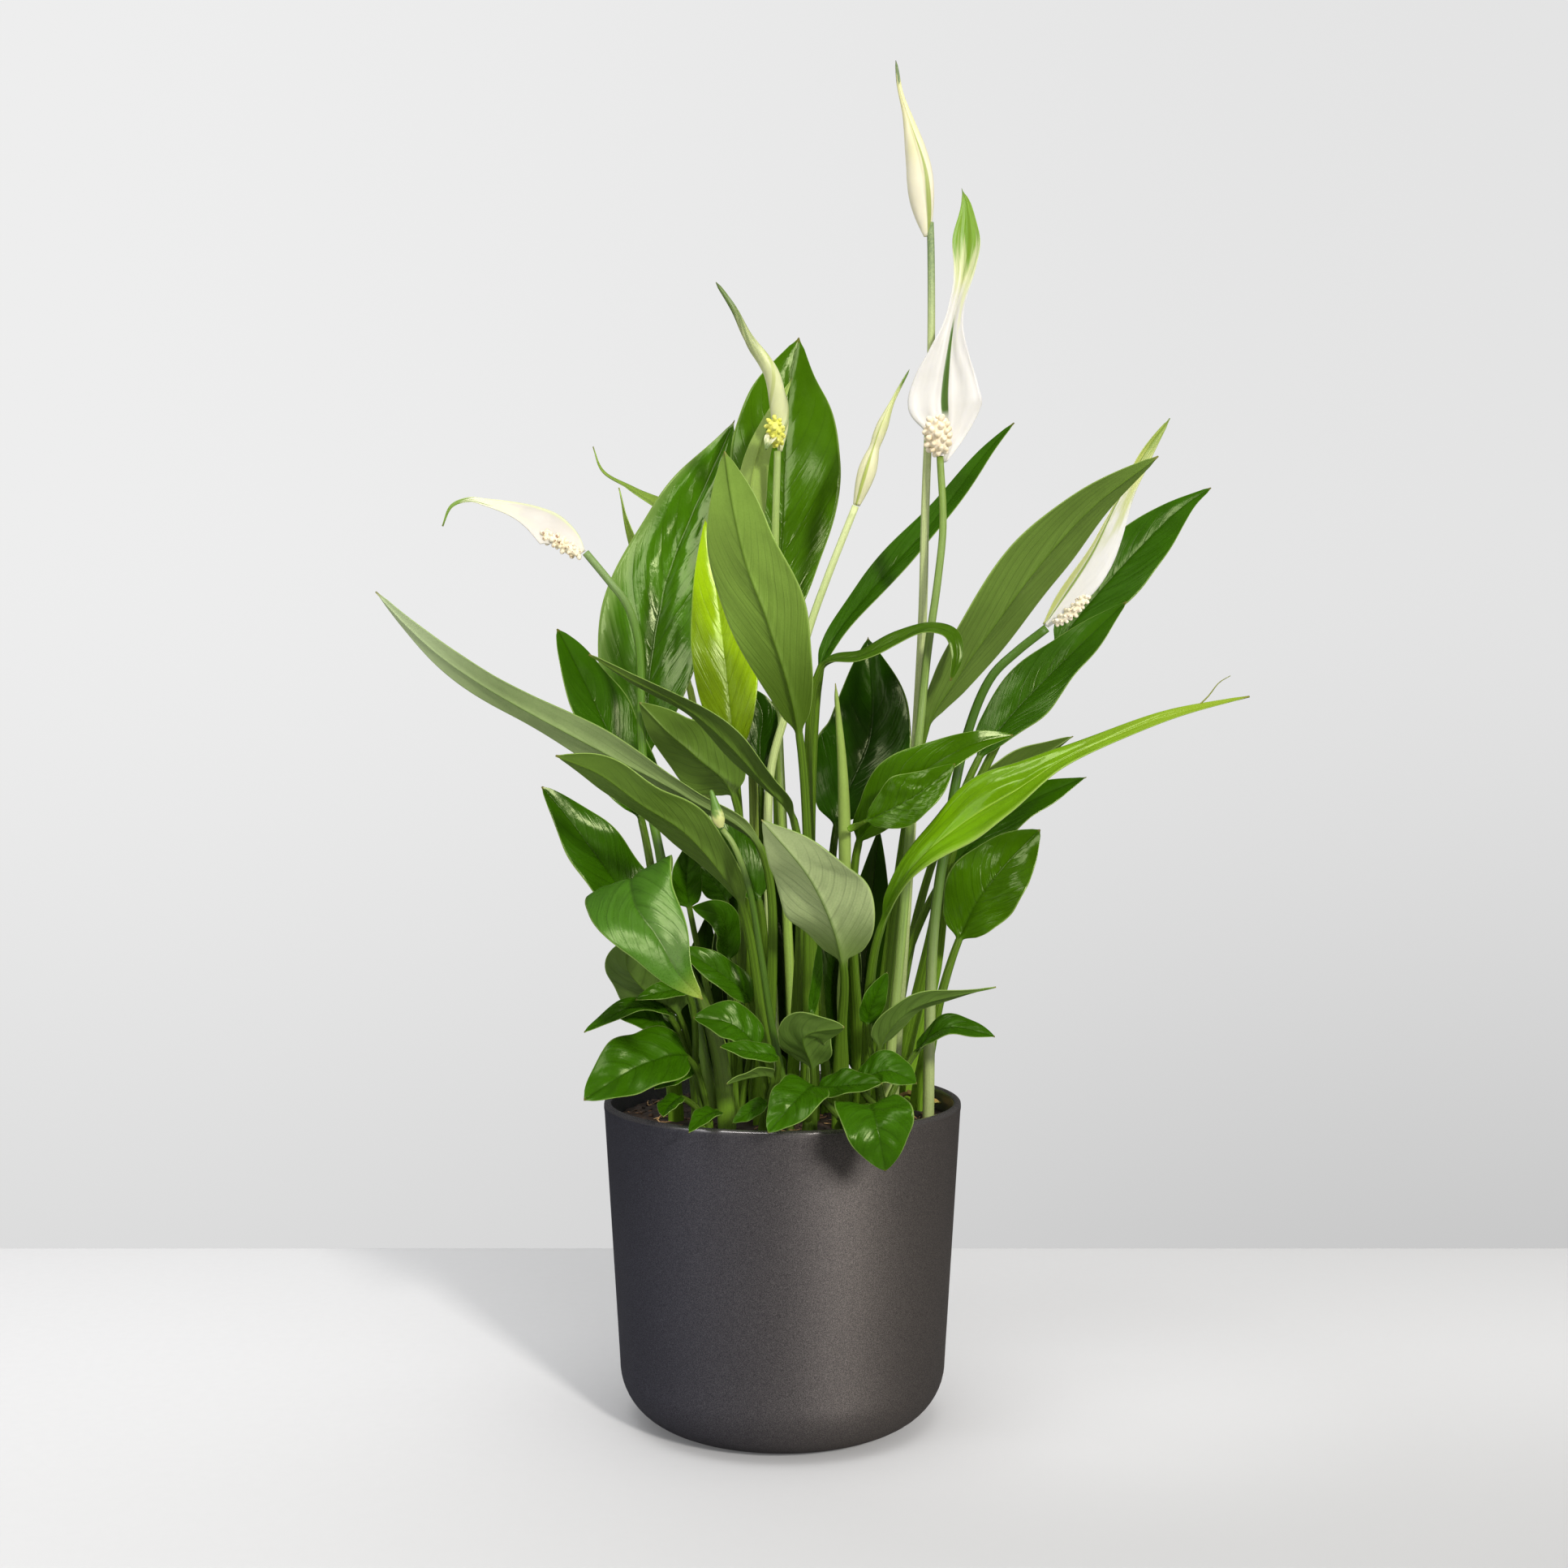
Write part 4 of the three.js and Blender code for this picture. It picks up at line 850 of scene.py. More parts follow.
def soil_piece():
    """A body to the pot's floor under a fine crumbled surface."""
    inner = FOOT_CURVE - POT_WALL - SOIL_GAP
    outline = [(0.01, POT_WALL + SOIL_GAP), (FOOT_CORNER, POT_WALL + SOIL_GAP)]
    outline += [foot_curve(inner, POT_WALL + 2 * SOIL_GAP, i, 5) for i in range(1, 5)]
    outline += [(60.0, 24), (65.6, SOIL_EDGE - 3)]
    turns = even(SOIL_SIDES, 0, math.tau)[:-1]
    rings = [[Vector((r * math.cos(a), r * math.sin(a), z)) for a in turns] for r, z in outline]
    for r in even(SOIL_RINGS, SOIL_RADIUS, 0.8):
        places = [(r * math.cos(a), r * math.sin(a)) for a in turns]
        rings.append([Vector((x, y, soil_height(x, y))) for x, y in places])
    uvs = [band(SOIL_SIDES, i / len(rings)) for i in range(len(rings))]
    return rolled_blank("soil_bed", rings, uvs)


def spot_on_soil(draw, radius):
    angle, reach = draw.uniform(0, math.tau), radius * math.sqrt(draw.random())
    return reach * math.cos(angle), reach * math.sin(angle)


def crumb_pieces():
    """Bark chips and crumbs on the soil, each a small squashed lump with its own turn."""
    draw = random.Random(CRUMB_SEED)
    pick()
    bpy.ops.mesh.primitive_ico_sphere_add(subdivisions=1, radius=MM)
    lump = bpy.context.object
    chips = {"soil_crumbs": [], "soil_bark": []}
    for _ in range(CRUMB_TRIES):
        x, y = spot_on_soil(draw, CRUMB_REACH)
        size = draw.uniform(0.5, 1.5)
        if any(math.hypot(x - sx, y - sy) < STEM_ROOM + size for sx, sy in STEM_ROOTS):
            continue
        bark = draw.random() < BARK_SHARE
        if bark:
            shape = (draw.uniform(1.6, 3.0), draw.uniform(0.6, 1.0), 0.35)
        else:
            shape = (1, draw.uniform(0.6, 1), 0.7)
        copy = copy_of(lump)
        for vertex in copy.data.vertices:
            vertex.co *= draw.uniform(0.75, 1.25)
        heading = Matrix.Rotation(draw.uniform(0, 6.28), 4, "Z")
        turned = heading @ Matrix.Rotation(draw.uniform(-0.5, 0.5), 4, "X")
        place = Vector((x, y, soil_height(x, y) + size * 0.15)) * MM
        shaped = Matrix.Diagonal((*[s * size for s in shape], 1))
        copy.data.transform(Matrix.Translation(place) @ turned @ shaped)
        chips["soil_bark" if bark else "soil_crumbs"].append(copy)
    bpy.data.objects.remove(lump)
    return [joined(name, pieces) for name, pieces in chips.items()]


def fibre_piece():
    """Thin dry root fibres lying over the soil."""
    draw = random.Random(FIBRE_SEED)
    pieces = []
    for _ in range(FIBRE_TRIES):
        x, y = spot_on_soil(draw, FIBRE_REACH)
        heading, bend = draw.uniform(0, math.tau), draw.uniform(-0.5, 0.5)
        points = []
        for _ in range(4):
            points.append((x, y, soil_height(x, y) + 0.5 + draw.uniform(-0.2, 0.7)))
            x += FIBRE_STEP * math.cos(heading)
            y += FIBRE_STEP * math.sin(heading)
            heading += bend
        if max(math.hypot(p[0], p[1]) for p in points) < SOIL_RADIUS - 1:
            radius = draw.uniform(0.14, 0.3)
            radii = [radius * 0.6, radius, radius * 0.9, radius * 0.3]
            pieces.append(rod_skin("fibre", points, radii, 8, 5))
    return joined("soil_fibres", pieces)


def rooted(root, path):
    """The path with the stem's foot in the soil and its collar at the surface before it."""
    return [[*root, STEM_FOOT], [*root, STEM_COLLAR], *path]


# ---- Tables ----
# path: points of the stalk, then the neck (path[neck], the first unless given) and the blade to its tip.
# face: where the upper side looks near the blade's middle. halves: half widths, evenly along the blade.
# width: the full width where there are no halves. hair: a thread-like end. flap: a folded leaf's front.

LEAVES = {
    "back_centre": dict(skin="leaf_green", root=[2, 30], path=[[-3, 33, 300], [0, 46, 356], [1.3, 56, 390],
        [2.7, 62, 416], [7, 66, 439]], face=[0.1, -1, 0.3], halves=[1.6, 8, 13, 17, 20.5, 22.5, 23, 22,
        17.5, 9, 0.6], fold=0.1, pleat=0.03),
    "back_left": dict(skin="leaf_sheen", root=[-32, 24], path=[[-56, 40, 258], [-51, 62, 328],
        [-21, 78, 406]], face=[-0.2, -1, 0.3], width=46, phase=1, pleat=0.07, quilt=0.026, folds=8),
    "centre_front": dict(skin="leaf_olive_front", root=[11, -17], path=[[6.4, -34, 265], [-5, -43, 306],
        [-13, -47, 327], [-18.4, -51, 350], [-21, -55, 368]], face=[0.3, 1, 0.2], halves=[1.5, 6.5, 10.5,
        13, 14.5, 15.3, 15, 13, 10, 6, 0.6], fold=0.1),
    "bright": dict(skin="leaf_lit", root=[-10, 8], path=[[-19, 2, 258], [-24.5, 6, 312], [-31, 10, 353]],
        face=[-0.1, -1, 0.2], width=26),
    "left_dark": dict(skin="leaf_dark", root=[-43, 12], path=[[-57, 20, 232], [-74, 26, 274],
        [-84, 30, 294], [-93, 34, 311]], face=[0.5, -0.8, 0.4], halves=[1.5, 10.5, 13.6, 14, 13.4, 12.6,
        11.4, 9.5, 6, 0.6]),
    "long_left": dict(skin="leaf_strap", root=[-8, -24], path=[[-8, -40, 223], [-34, -44, 242],
        [-64, -45, 258], [-94, -45, 274], [-112, -45, 284.5], [-127, -45, 295], [-139.5, -45, 306.5],
        [-150, -45, 318]], face=[0.4, 0.75, 0.5], halves=[1.4, 3.4, 3.8, 4.6, 7, 8.6, 8.4, 7.6, 7, 6.2, 4.6,
        2.6, 0.5], fold=0.1),
    "left_mid": dict(skin="leaf_olive", root=[-4, -33], path=[[-14.6, -47, 202], [-22, -53, 215],
        [-35, -61, 230], [-50, -69, 240], [-65, -76, 251], [-79, -82, 257]], face=[0.3, 0.6, 0.7],
        halves=[1.5, 6, 9, 10.5, 11.4, 11.6, 11, 9.6, 6.4, 0.6]),
    "centre_left": dict(skin="leaf_olive", root=[4, -6], path=[[4.4, -16, 233], [-6, -18, 247],
        [-32, -24, 273], [-59.5, -29, 288], [-73, -30, 296]], face=[0.3, 0.4, 0.85], halves=[1.5, 5.5, 7.6,
        8.2, 7.6, 6.4, 5, 3.6, 2.2, 0.6], fold=0.1),
    "behind_left": dict(skin="leaf_olive", root=[-20, -1], path=[[-18.8, -2, 242], [-34, 1, 258],
        [-45.6, -1, 268], [-56, -4, 279]], face=[0.3, 0.9, 0.3], halves=[1.4, 9.6, 13.6, 14, 12.8, 10.6,
        7.8, 4.6, 0.6]),
    "left_low": dict(skin="leaf_dark", root=[-41, -15], path=[[-51, -15, 192], [-62, -20, 207],
        [-71, -25, 220], [-81, -29, 234], [-90.5, -32, 246]], face=[0.3, -0.8, 0.5], halves=[1.5, 8.5, 12,
        13, 13, 12, 10.4, 8, 4.6, 0.6]),
    "front_droop": dict(skin="leaf_droop", root=[-21, -29], path=[[-25, -31, 150], [-37, -38, 182],
        [-46, -46, 197], [-54, -62, 213], [-51, -80, 204], [-42, -91, 193], [-35, -97, 182],
        [-27, -100, 174]], neck=2, face=[-0.4, -0.55, 0.75], halves=[1.5, 8, 15, 17.6, 17, 15, 12.2, 8.8,
        4.6, 0.6], fold=0.12),
    "front_under": dict(skin="leaf_grey_back", root=[22, -30], path=[[22, -38, 152], [22, -56, 182],
        [11, -80, 212], [-7, -98, 235]], neck=1, face=[0.3, 0.8, 0.5], width=34, fold=0.15),
    "right_bright": dict(skin="leaf_fresh", root=[31, -21], path=[[33, -32, 172], [36.5, -40, 193],
        [48, -47, 216.5], [71, -56, 236.4], [85, -60, 245], [101, -64, 255.7], [134, -70, 270],
        [165, -74, 278]], neck=1, face=[-0.4, -0.6, 0.7], halves=[1.5, 5, 8.4, 10.8, 13, 11.8, 9, 6.4, 4.6,
        3.3, 2.3, 1.4, 0.6], pleat=0.085, wave=0.16, quilt=0.03, hair=[[146, -71.4, 273.4], [151, -71, 278],
        [155, -71, 283], [159, -71, 285.4]]),
    "right_low": dict(skin="leaf_green", root=[54, 7], path=[[63, 8, 162], [70.7, 14, 184], [78.6, 15, 200],
        [90, 17, 214.6], [104, 18, 228.6]], neck=1, face=[-0.3, -0.9, 0.3], halves=[1.5, 9, 13, 15, 15.4,
        14.6, 12.8, 9.8, 5.6, 0.6], fold=0.12),
    "right_dark": dict(skin="leaf_dark", root=[46, 20], path=[[61, 24, 186], [68, 26, 226], [80, 27, 257],
        [90, 30, 270.6], [107.4, 34, 289], [143.4, 42, 323]], neck=2, face=[-0.4, -0.8, 0.4], halves=[1.5,
        7.5, 11, 12.8, 12.8, 11.6, 9.6, 6.8, 3.6, 0.6]),
    "right_under": dict(skin="leaf_plaited", root=[36, -5], path=[[55.6, -8, 268], [66, -12, 286.6],
        [81, -18, 308], [99, -24, 332], [117, -29, 351.6], [141, -34, 370]], face=[-0.3, 0.8, 0.5],
        halves=[1.5, 6.5, 10, 12.4, 13.4, 13, 11.4, 8.6, 4.8, 0.6]),
    "right_far": dict(skin="leaf_far", root=[50, 32], path=[[62, 34, 169], [69, 38, 216], [89, 46, 262],
        [115, 54, 304], [133.6, 60, 327], [152.5, 68, 347], [173.5, 76, 367], [188, 82, 377]], neck=3,
        face=[-0.3, -0.95, 0.2], halves=[1.5, 7, 11, 13.4, 13.8, 12.6, 10, 6.4, 3, 0.6]),
    "centre_narrow": dict(skin="leaf_far", root=[10, 13], path=[[15, 14, 291], [20, 16, 304.5],
        [37, 26, 327], [62, 36, 355], [86, 48, 386.5], [98, 54, 400]], face=[-0.5, -0.8, 0.4], halves=[1.4,
        4, 5.6, 6.8, 7.2, 6.8, 5.8, 4.4, 2.6, 0.6]),
    "curling": dict(skin="leaf_olive", root=[17, 1], path=[[15, -8, 292.5], [30, -14, 296.5],
        [44, -18, 302.5], [56, -22, 306.5], [64, -26, 304], [66, -28, 296], [63.5, -29, 286]],
        face=[-0.2, -0.5, 0.85], halves=[1.3, 3.6, 4.8, 5.2, 5, 4.6, 4, 3.2, 2.2, 0.6], fold=0.1),
    "dark_back": dict(skin="leaf_shaded_deep", root=[20, 23], path=[[22, 30, 229], [37, 44, 269], [36, 50, 309]],
        face=[-0.2, -0.9, 0.3], width=39),
    "folded": dict(skin="leaf_green", root=[30, -11], path=[[29, -22, 224], [37, -27, 236],
        [47.6, -32, 247], [59.6, -35, 256], [73.4, -34, 262.5], [87, -30, 265.4]], face=[-0.3, -0.85, 0.4],
        halves=[1.4, 6.5, 10, 11.6, 11, 9, 6.8, 4.6, 2.8, 0.6], fold=0.4, flap=[[25, -33, 230],
        [31, -37, 233], [41, -41, 238], [52, -43.5, 244.5], [64, -42, 254.5]]),
    "rear_right": dict(skin="leaf_dark", root=[43, 40], path=[[70, 56, 228], [98, 68, 250], [127, 80, 268]],
        face=[-0.3, 0.7, 0.6], width=22),
    "rear_low": dict(skin="leaf_dark", root=[34, 27], path=[[66, 42, 206], [98, 47, 236], [128, 50, 250]],
        face=[-0.3, -0.8, 0.5], width=20),
    "rear_left": dict(skin="leaf_pale", root=[-10, 36], path=[[-21, 74, 320], [-49, 100, 366],
        [-70, 114, 382], [-83, 120, 391], [-87.5, 124, 403]], face=[-0.35, 0.25, 0.9], width=20, fall=1.6),
    "rear_behind": dict(skin="leaf_pale", root=[-22, 36], path=[[-40, 70, 288], [-58.7, 84, 335],
        [-68.5, 94, 361], [-73.7, 100, 380]], face=[-0.9, -0.3, 0.3], width=20, fall=1.7),
    "pale_narrow": dict(skin="leaf_pale", root=[-7, 19], path=[[-14.5, 18, 321], [-14, 20, 354],
        [-11, 22, 377.5], [-4, 24, 397], [4, 26, 412.6]], face=[0.2, 0.9, 0.2], width=13, stalk=[2.4, 1.2]),
    "inner_dark": dict(skin="leaf_shaded_deep", root=[-6, -4], path=[[-8.5, 7, 247], [-9, 10, 264], [-8, 11, 275],
        [-12.5, 11, 285]], face=[0.2, -0.9, 0.2], width=13, fall=0.7, stalk=[2.2, 1.2]),
    "inner_left": dict(skin="leaf_dark", root=[-10, -12], path=[[-9, -22, 202], [-23, -28, 224],
        [-40, -34, 244]], face=[0.3, -0.8, 0.5], width=22),
    "dry": dict(skin="leaf_dry", slot="dry_leaf", root=[46, 11], path=[[50, 15, 122.5], [56, 18, 119.4],
        [64, 17, 118.6]], face=[0, -0.2, 1], width=9, stalk=[1.2, 0.8]),
}

FLAP = dict(
    face=[-0.1, -1, 0.35], fold=0.16, halves=[0.8, 5, 8, 9.4, 9.4, 8, 5.6, 3, 0.4], stalk=[1, 0.8],
    quilt=0.05, pleat=0.05,
)

# Young leaves that rise close together from one root
YOUNG = {
    "left": dict(root=[-28, -40], leaves=[
        dict(path=[[-35, -44, 146], [-50, -54, 145], [-71, -66, 134]], face=[0.1, -0.7, 0.8], width=28,
             quilt=0.035),
        dict(path=[[-24, -56, 128], [-28, -66, 128], [-33, -74, 124]], face=[0, -0.6, 0.8], width=8),
        dict(path=[[-34, -36, 141], [-40, -42, 139], [-47, -48, 135]], face=[0, -0.7, 0.8], width=11),
        dict(path=[[-37, -50, 132], [-41, -54, 130], [-43, -60, 127]], face=[-0.3, -0.6, 0.7], width=9),
    ]),
    "left_high": dict(root=[-32, -26], leaves=[
        dict(path=[[-42, -36, 160], [-54, -46, 165], [-72, -56, 157]], face=[0, -0.6, 0.8], width=9),
        dict(path=[[-39, -34, 161], [-49, -42, 169], [-57, -48, 180], [-56, -52, 190]],
             face=[0.3, 0.8, 0.4], width=28),
        dict(path=[[-35, -44, 170], [-44, -52, 171], [-53, -58, 169]], face=[0, -0.8, 0.6], width=8),
        dict(path=[[-39, -30, 151], [-50, -36, 159], [-61, -44, 161]], face=[0, -0.8, 0.6], width=13),
    ]),
    "front": dict(root=[-6, -46], leaves=[
        dict(path=[[-9, -55, 150], [-18, -59, 160], [-32, -62, 163]], face=[0, -0.7, 0.7], width=18),
        dict(path=[[-2, -60, 148], [-11, -66, 151], [-22, -72, 154]], face=[0, -0.7, 0.7], width=9),
        dict(path=[[-4, -56, 141], [-11, -62, 142], [-20, -66, 140]], face=[0.2, 0.6, 0.7], width=8),
        dict(path=[[-6, -58, 132], [-11, -60, 129], [-18, -62, 125]], face=[0, -0.7, 0.7], width=7),
    ]),
    "middle": dict(root=[10, -46], leaves=[
        dict(path=[[11, -56, 144], [8, -66, 157], [22, -72, 161]], face=[0.2, 0.6, 0.7], width=20),
        dict(path=[[11, -62, 138], [6, -72, 136], [-5, -80, 125]], face=[0, -0.6, 0.8], width=19),
        dict(path=[[11, -38, 161], [13, -40, 176], [14, -42, 190]], face=[0, -1, 0.1], width=4),
    ]),
    "right": dict(root=[22, -44], leaves=[
        dict(path=[[13, -48, 134], [22, -54, 137], [36, -60, 139]], face=[0, -0.6, 0.8], width=14),
        dict(path=[[31, -68, 132], [33, -80, 128], [36, -82, 112]], face=[0, -0.8, 0.6], width=27,
             rise=0.36, lobe=0.5),
    ]),
    "right_high": dict(root=[38, -34], leaves=[
        dict(path=[[29, -46, 136], [38, -50, 142], [49, -54, 138]], face=[0.1, -0.7, 0.7], width=16),
        dict(path=[[36, -40, 149], [47, -46, 164], [78, -52, 173]], face=[-0.2, 0.7, 0.6], width=12,
             fall=1.5),
        dict(path=[[51, -24, 145], [62, -30, 155], [79.5, -36, 152.6]], face=[0, -0.6, 0.8], width=12),
        dict(path=[[32, -36, 157], [34, -38, 166], [39, -40, 177]], face=[0.2, -1, 0.2], width=9),
    ]),
    "back_left": dict(root=[-17, -20], leaves=[
        dict(path=[[-12, -34, 165], [-25, -40, 178], [-39, -46, 187]], face=[0, -0.8, 0.6], width=13),
        dict(path=[[-21, -20, 179], [-23, -26, 196], [-34, -34, 201]], face=[0.2, -0.8, 0.5], width=13),
        dict(path=[[-36, -12, 199], [-37, -16, 211], [-35, -20, 226]], face=[0.2, -0.9, 0.2], width=12),
        dict(path=[[-22, -4, 201], [-27, -2, 209], [-33, 0, 220]], face=[0.2, -0.9, 0.3], width=14),
    ]),
}

# Dark leaves in the shade between the stems
SHADE = {
    "a": dict(root=[-14, 12], path=[[-16, 14, 136], [-17, 16, 180], [-13, 18, 226]], face=[0.1, -1, 0.15],
        width=24),
    "b": dict(root=[2, 14], path=[[3, 16, 134], [2, 18, 182], [6, 20, 232]], face=[-0.1, -1, 0.1],
        width=26),
    "c": dict(root=[16, 12], path=[[18, 14, 132], [20, 16, 172], [22, 18, 214]], face=[0, -1, 0.2],
        width=24),
    "d": dict(root=[-27, 8], path=[[-29, 10, 132], [-33, 12, 160], [-30, 14, 196]], face=[0.2, -1, 0.2],
        width=18),
    "e": dict(root=[27, 6], path=[[29, 10, 130], [33, 14, 172], [39, 17, 230]], face=[0, -1, 0.1],
        width=21),
}

# Flower stems, with their radius at the foot and at the top
SCAPES = {
    "tall": dict(root=[44, 6], path=[[49, 2, 200], [52.5, 0, 262], [55, -2, 312], [56, -4, 357],
        [58, -6, 414], [58, -6, 456], [57.6, -7, 466]], radii=[2.2, 1.4]),
    "open": dict(root=[40, -16], path=[[47, -14, 200], [50, -14, 240], [53, -13.6, 268], [56, -13, 297],
        [60, -14, 326], [62, -14, 347], [60.8, -14.5, 373.4]], radii=[2.1, 1.35]),
    "centre": dict(root=[5, 5], path=[[-2, 17, 280], [-3, 15, 337], [-2, 10, 380]], radii=[2.2, 1.4]),
    "bud": dict(root=[-2, -12], path=[[-5, 4, 249], [1.2, 5, 275], [11, 6, 310], [18.6, 6, 331],
        [29, 6, 357.3]], radii=[2.1, 1.4]),
    "hooded": dict(root=[-28, 6], path=[[-54.4, 5, 249], [-56, 5, 267], [-57, 4, 303], [-61.5, 2, 318],
        [-68, 0, 326.6], [-77.4, -1, 338]], radii=[2.2, 1.5]),
    "folded": dict(root=[57, -6], path=[[59.3, -2, 188], [64, -1, 223], [72.6, 0, 266], [82, -2, 289],
        [92, -3, 299], [103.4, -4.6, 308]], radii=[2.3, 1.7]),
    "small": dict(root=[3, -39], path=[[-4, -48, 159], [-8, -55, 186], [-12.2, -61, 210.4],
        [-17.7, -63.5, 225.5], [-21.5, -64, 230.8]], radii=[1.6, 1]),
}

# Spathes that are still rolled up. seam: the angle of the free margin, turns: how far it winds, in radians.
ROLLED = {
    "tall": dict(points=[[56.2, -6, 460.9], [54.3, -7, 474], [52.8, -8, 488], [48.6, -9.5, 506],
        [45.6, -10, 516.5], [44, -10, 528]], radii=[1.2, 3.6, 5.1, 5.6, 5.2, 4.3, 3, 1.8, 1.1, 0.9, 0.4],
        seam=2.1, turns=-0.8),
    "centre": dict(points=[[-1, 12.6, 380.4], [-1, 13, 392], [-4, 8, 410], [-14, 2, 424], [-19, -3, 433],
        [-26, -6, 443]], radii=[1, 3.2, 3.9, 3.6, 3, 2.3, 1.7, 1.2, 0.6], seam=1, turns=9),
    "bud": dict(points=[[29.3, 6, 357.7], [33, 5, 369.6], [38, 3, 385], [43.4, 1, 398], [50, 0, 410.3]],
        radii=[1.5, 2.7, 3.6, 4, 3.4, 2.3, 2.6, 2.5, 1.7, 1, 0.8, 0.6, 0.3], seam=1.4),
    "small": dict(points=[[-21.9, -64.1, 231.4], [-23.6, -64.5, 238], [-25.6, -64.5, 245]], radii=[1, 2.3,
        2.2, 1.6, 1.1, 0.6], rows=30, sides=28),
}
WHITE_LOBE = dict(
    points=[[-2.6, 7, 386.5], [-5, 4.6, 383.5], [-6.6, 3.6, 379.4]], halves=[1, 2.3, 2.4, 1.4, 0.4],
    lifts=[0.2, 0.3, 0.3, 0.2, 0], face=[-0.2, -1, 0.3], rows=24,
)

# Open spathes: lifts say how far the margins rise, as a share of the half width
OPEN = {
    "open": dict(points=[[62.4, -12, 372], [63.6, -9.4, 385], [63, -9, 397], [64.4, -10, 413],
        [67, -10, 430], [70.4, -10, 446], [71.2, -10, 460], [71.2, -10, 472], [69.6, -10, 478.4]],
        halves=[1.4, 7.6, 14.2, 12.2, 7.6, 3.8, 3, 4.2, 5.4, 3, 0.1], lifts=[0.05, 0.06, 0.1, 0.14, 0.3,
        0.7, 0.9, 0.7, 0.6, 0.4, 0.1], face=[0, -1, 0.1], pleat=0.06, crease=0.035),
    "hooded": dict(points=[[-79, 1, 338.4], [-81.5, 0.6, 345], [-88, -0.6, 351.8], [-96, -3, 355],
        [-106, -5, 356.8], [-115, -7, 357.6], [-122, -9, 358], [-128.6, -10, 355], [-131.8, -10, 347]],
        halves=[1.2, 4.4, 6.4, 6.6, 5.2, 3.8, 2.8, 1.9, 1.6, 0.9, 0.15], lifts=[0.4, 1.4, 1.65, 1.75, 1.55,
        1.3, 1.05, 0.8, 0.4, 0.3, 0], face=[-0.25, 0.3, -0.92], pleat=0.012),
    "folded": dict(points=[[103.1, -2, 309.4], [110, -2.4, 320], [120.7, -4, 337], [130.4, -6, 357],
        [140.6, -8, 375], [151, -8, 389.4]], halves=[1.6, 5.5, 7.4, 7.4, 6.2, 4.6, 3.4, 3.4, 2.2, 0.4],
        lifts=[0.3, 0.5, 0.7, 0.8, 0.9, 1, 0.9, 0.5, 0.3, 0], face=[0.6, -0.7, 0.2], pleat=0.02),
}

# radius: the rod's own. knob_size: the radius of one knob.
SPADICES = {
    "open": dict(points=[[60.5, -15.4, 374.8], [59.6, -18.4, 380.4], [59.5, -19.4, 386.6]], radius=4.1,
        knobs=42, knob_size=1.25),
    "centre": dict(points=[[-2, 9.2, 382.4], [-2.8, 6, 386.4], [-3.6, 4, 391.4]], radius=3, knobs=34,
        knob_size=0.85),
    "hooded": dict(points=[[-79.5, -0.8, 337], [-86.4, -1.8, 341], [-94.4, -3, 345.4]], radius=2, knobs=34,
        knob_size=1),
    "folded": dict(points=[[106.5, -6.5, 309.6], [112, -10, 313.4], [118, -11.6, 319.6]], radius=1.7,
        knobs=34, knob_size=0.85),
}

STEM_ROOTS = [row["root"] for table in (LEAVES, YOUNG, SCAPES) for row in table.values()]
STEM_ROOTS.append(SPIKE_ROOT)

# The new leaf, still rolled to a spike
SPIKE_PATH = [[24, -22, 205], [23, -27, 250], [20, -30, 285]]
SPIKE_RADII = [2.2, 2, 1.9, 1.8, 1.8, 2, 2.3, 2.4, 2, 1.4, 0.6]

# ---- Finishes ----
# Colours are red, green and blue from 0 to 255.
# base: a colour and where it ends, tip: a colour and where it starts, both along the blade.
# edge: a colour, which side it lies on, and where it starts across the blade.

STALK = (82, 112, 26)
OLIVE = (54, 84, 8)
DULL_BACK = 0.22  # the specular level of a leaf seen from below

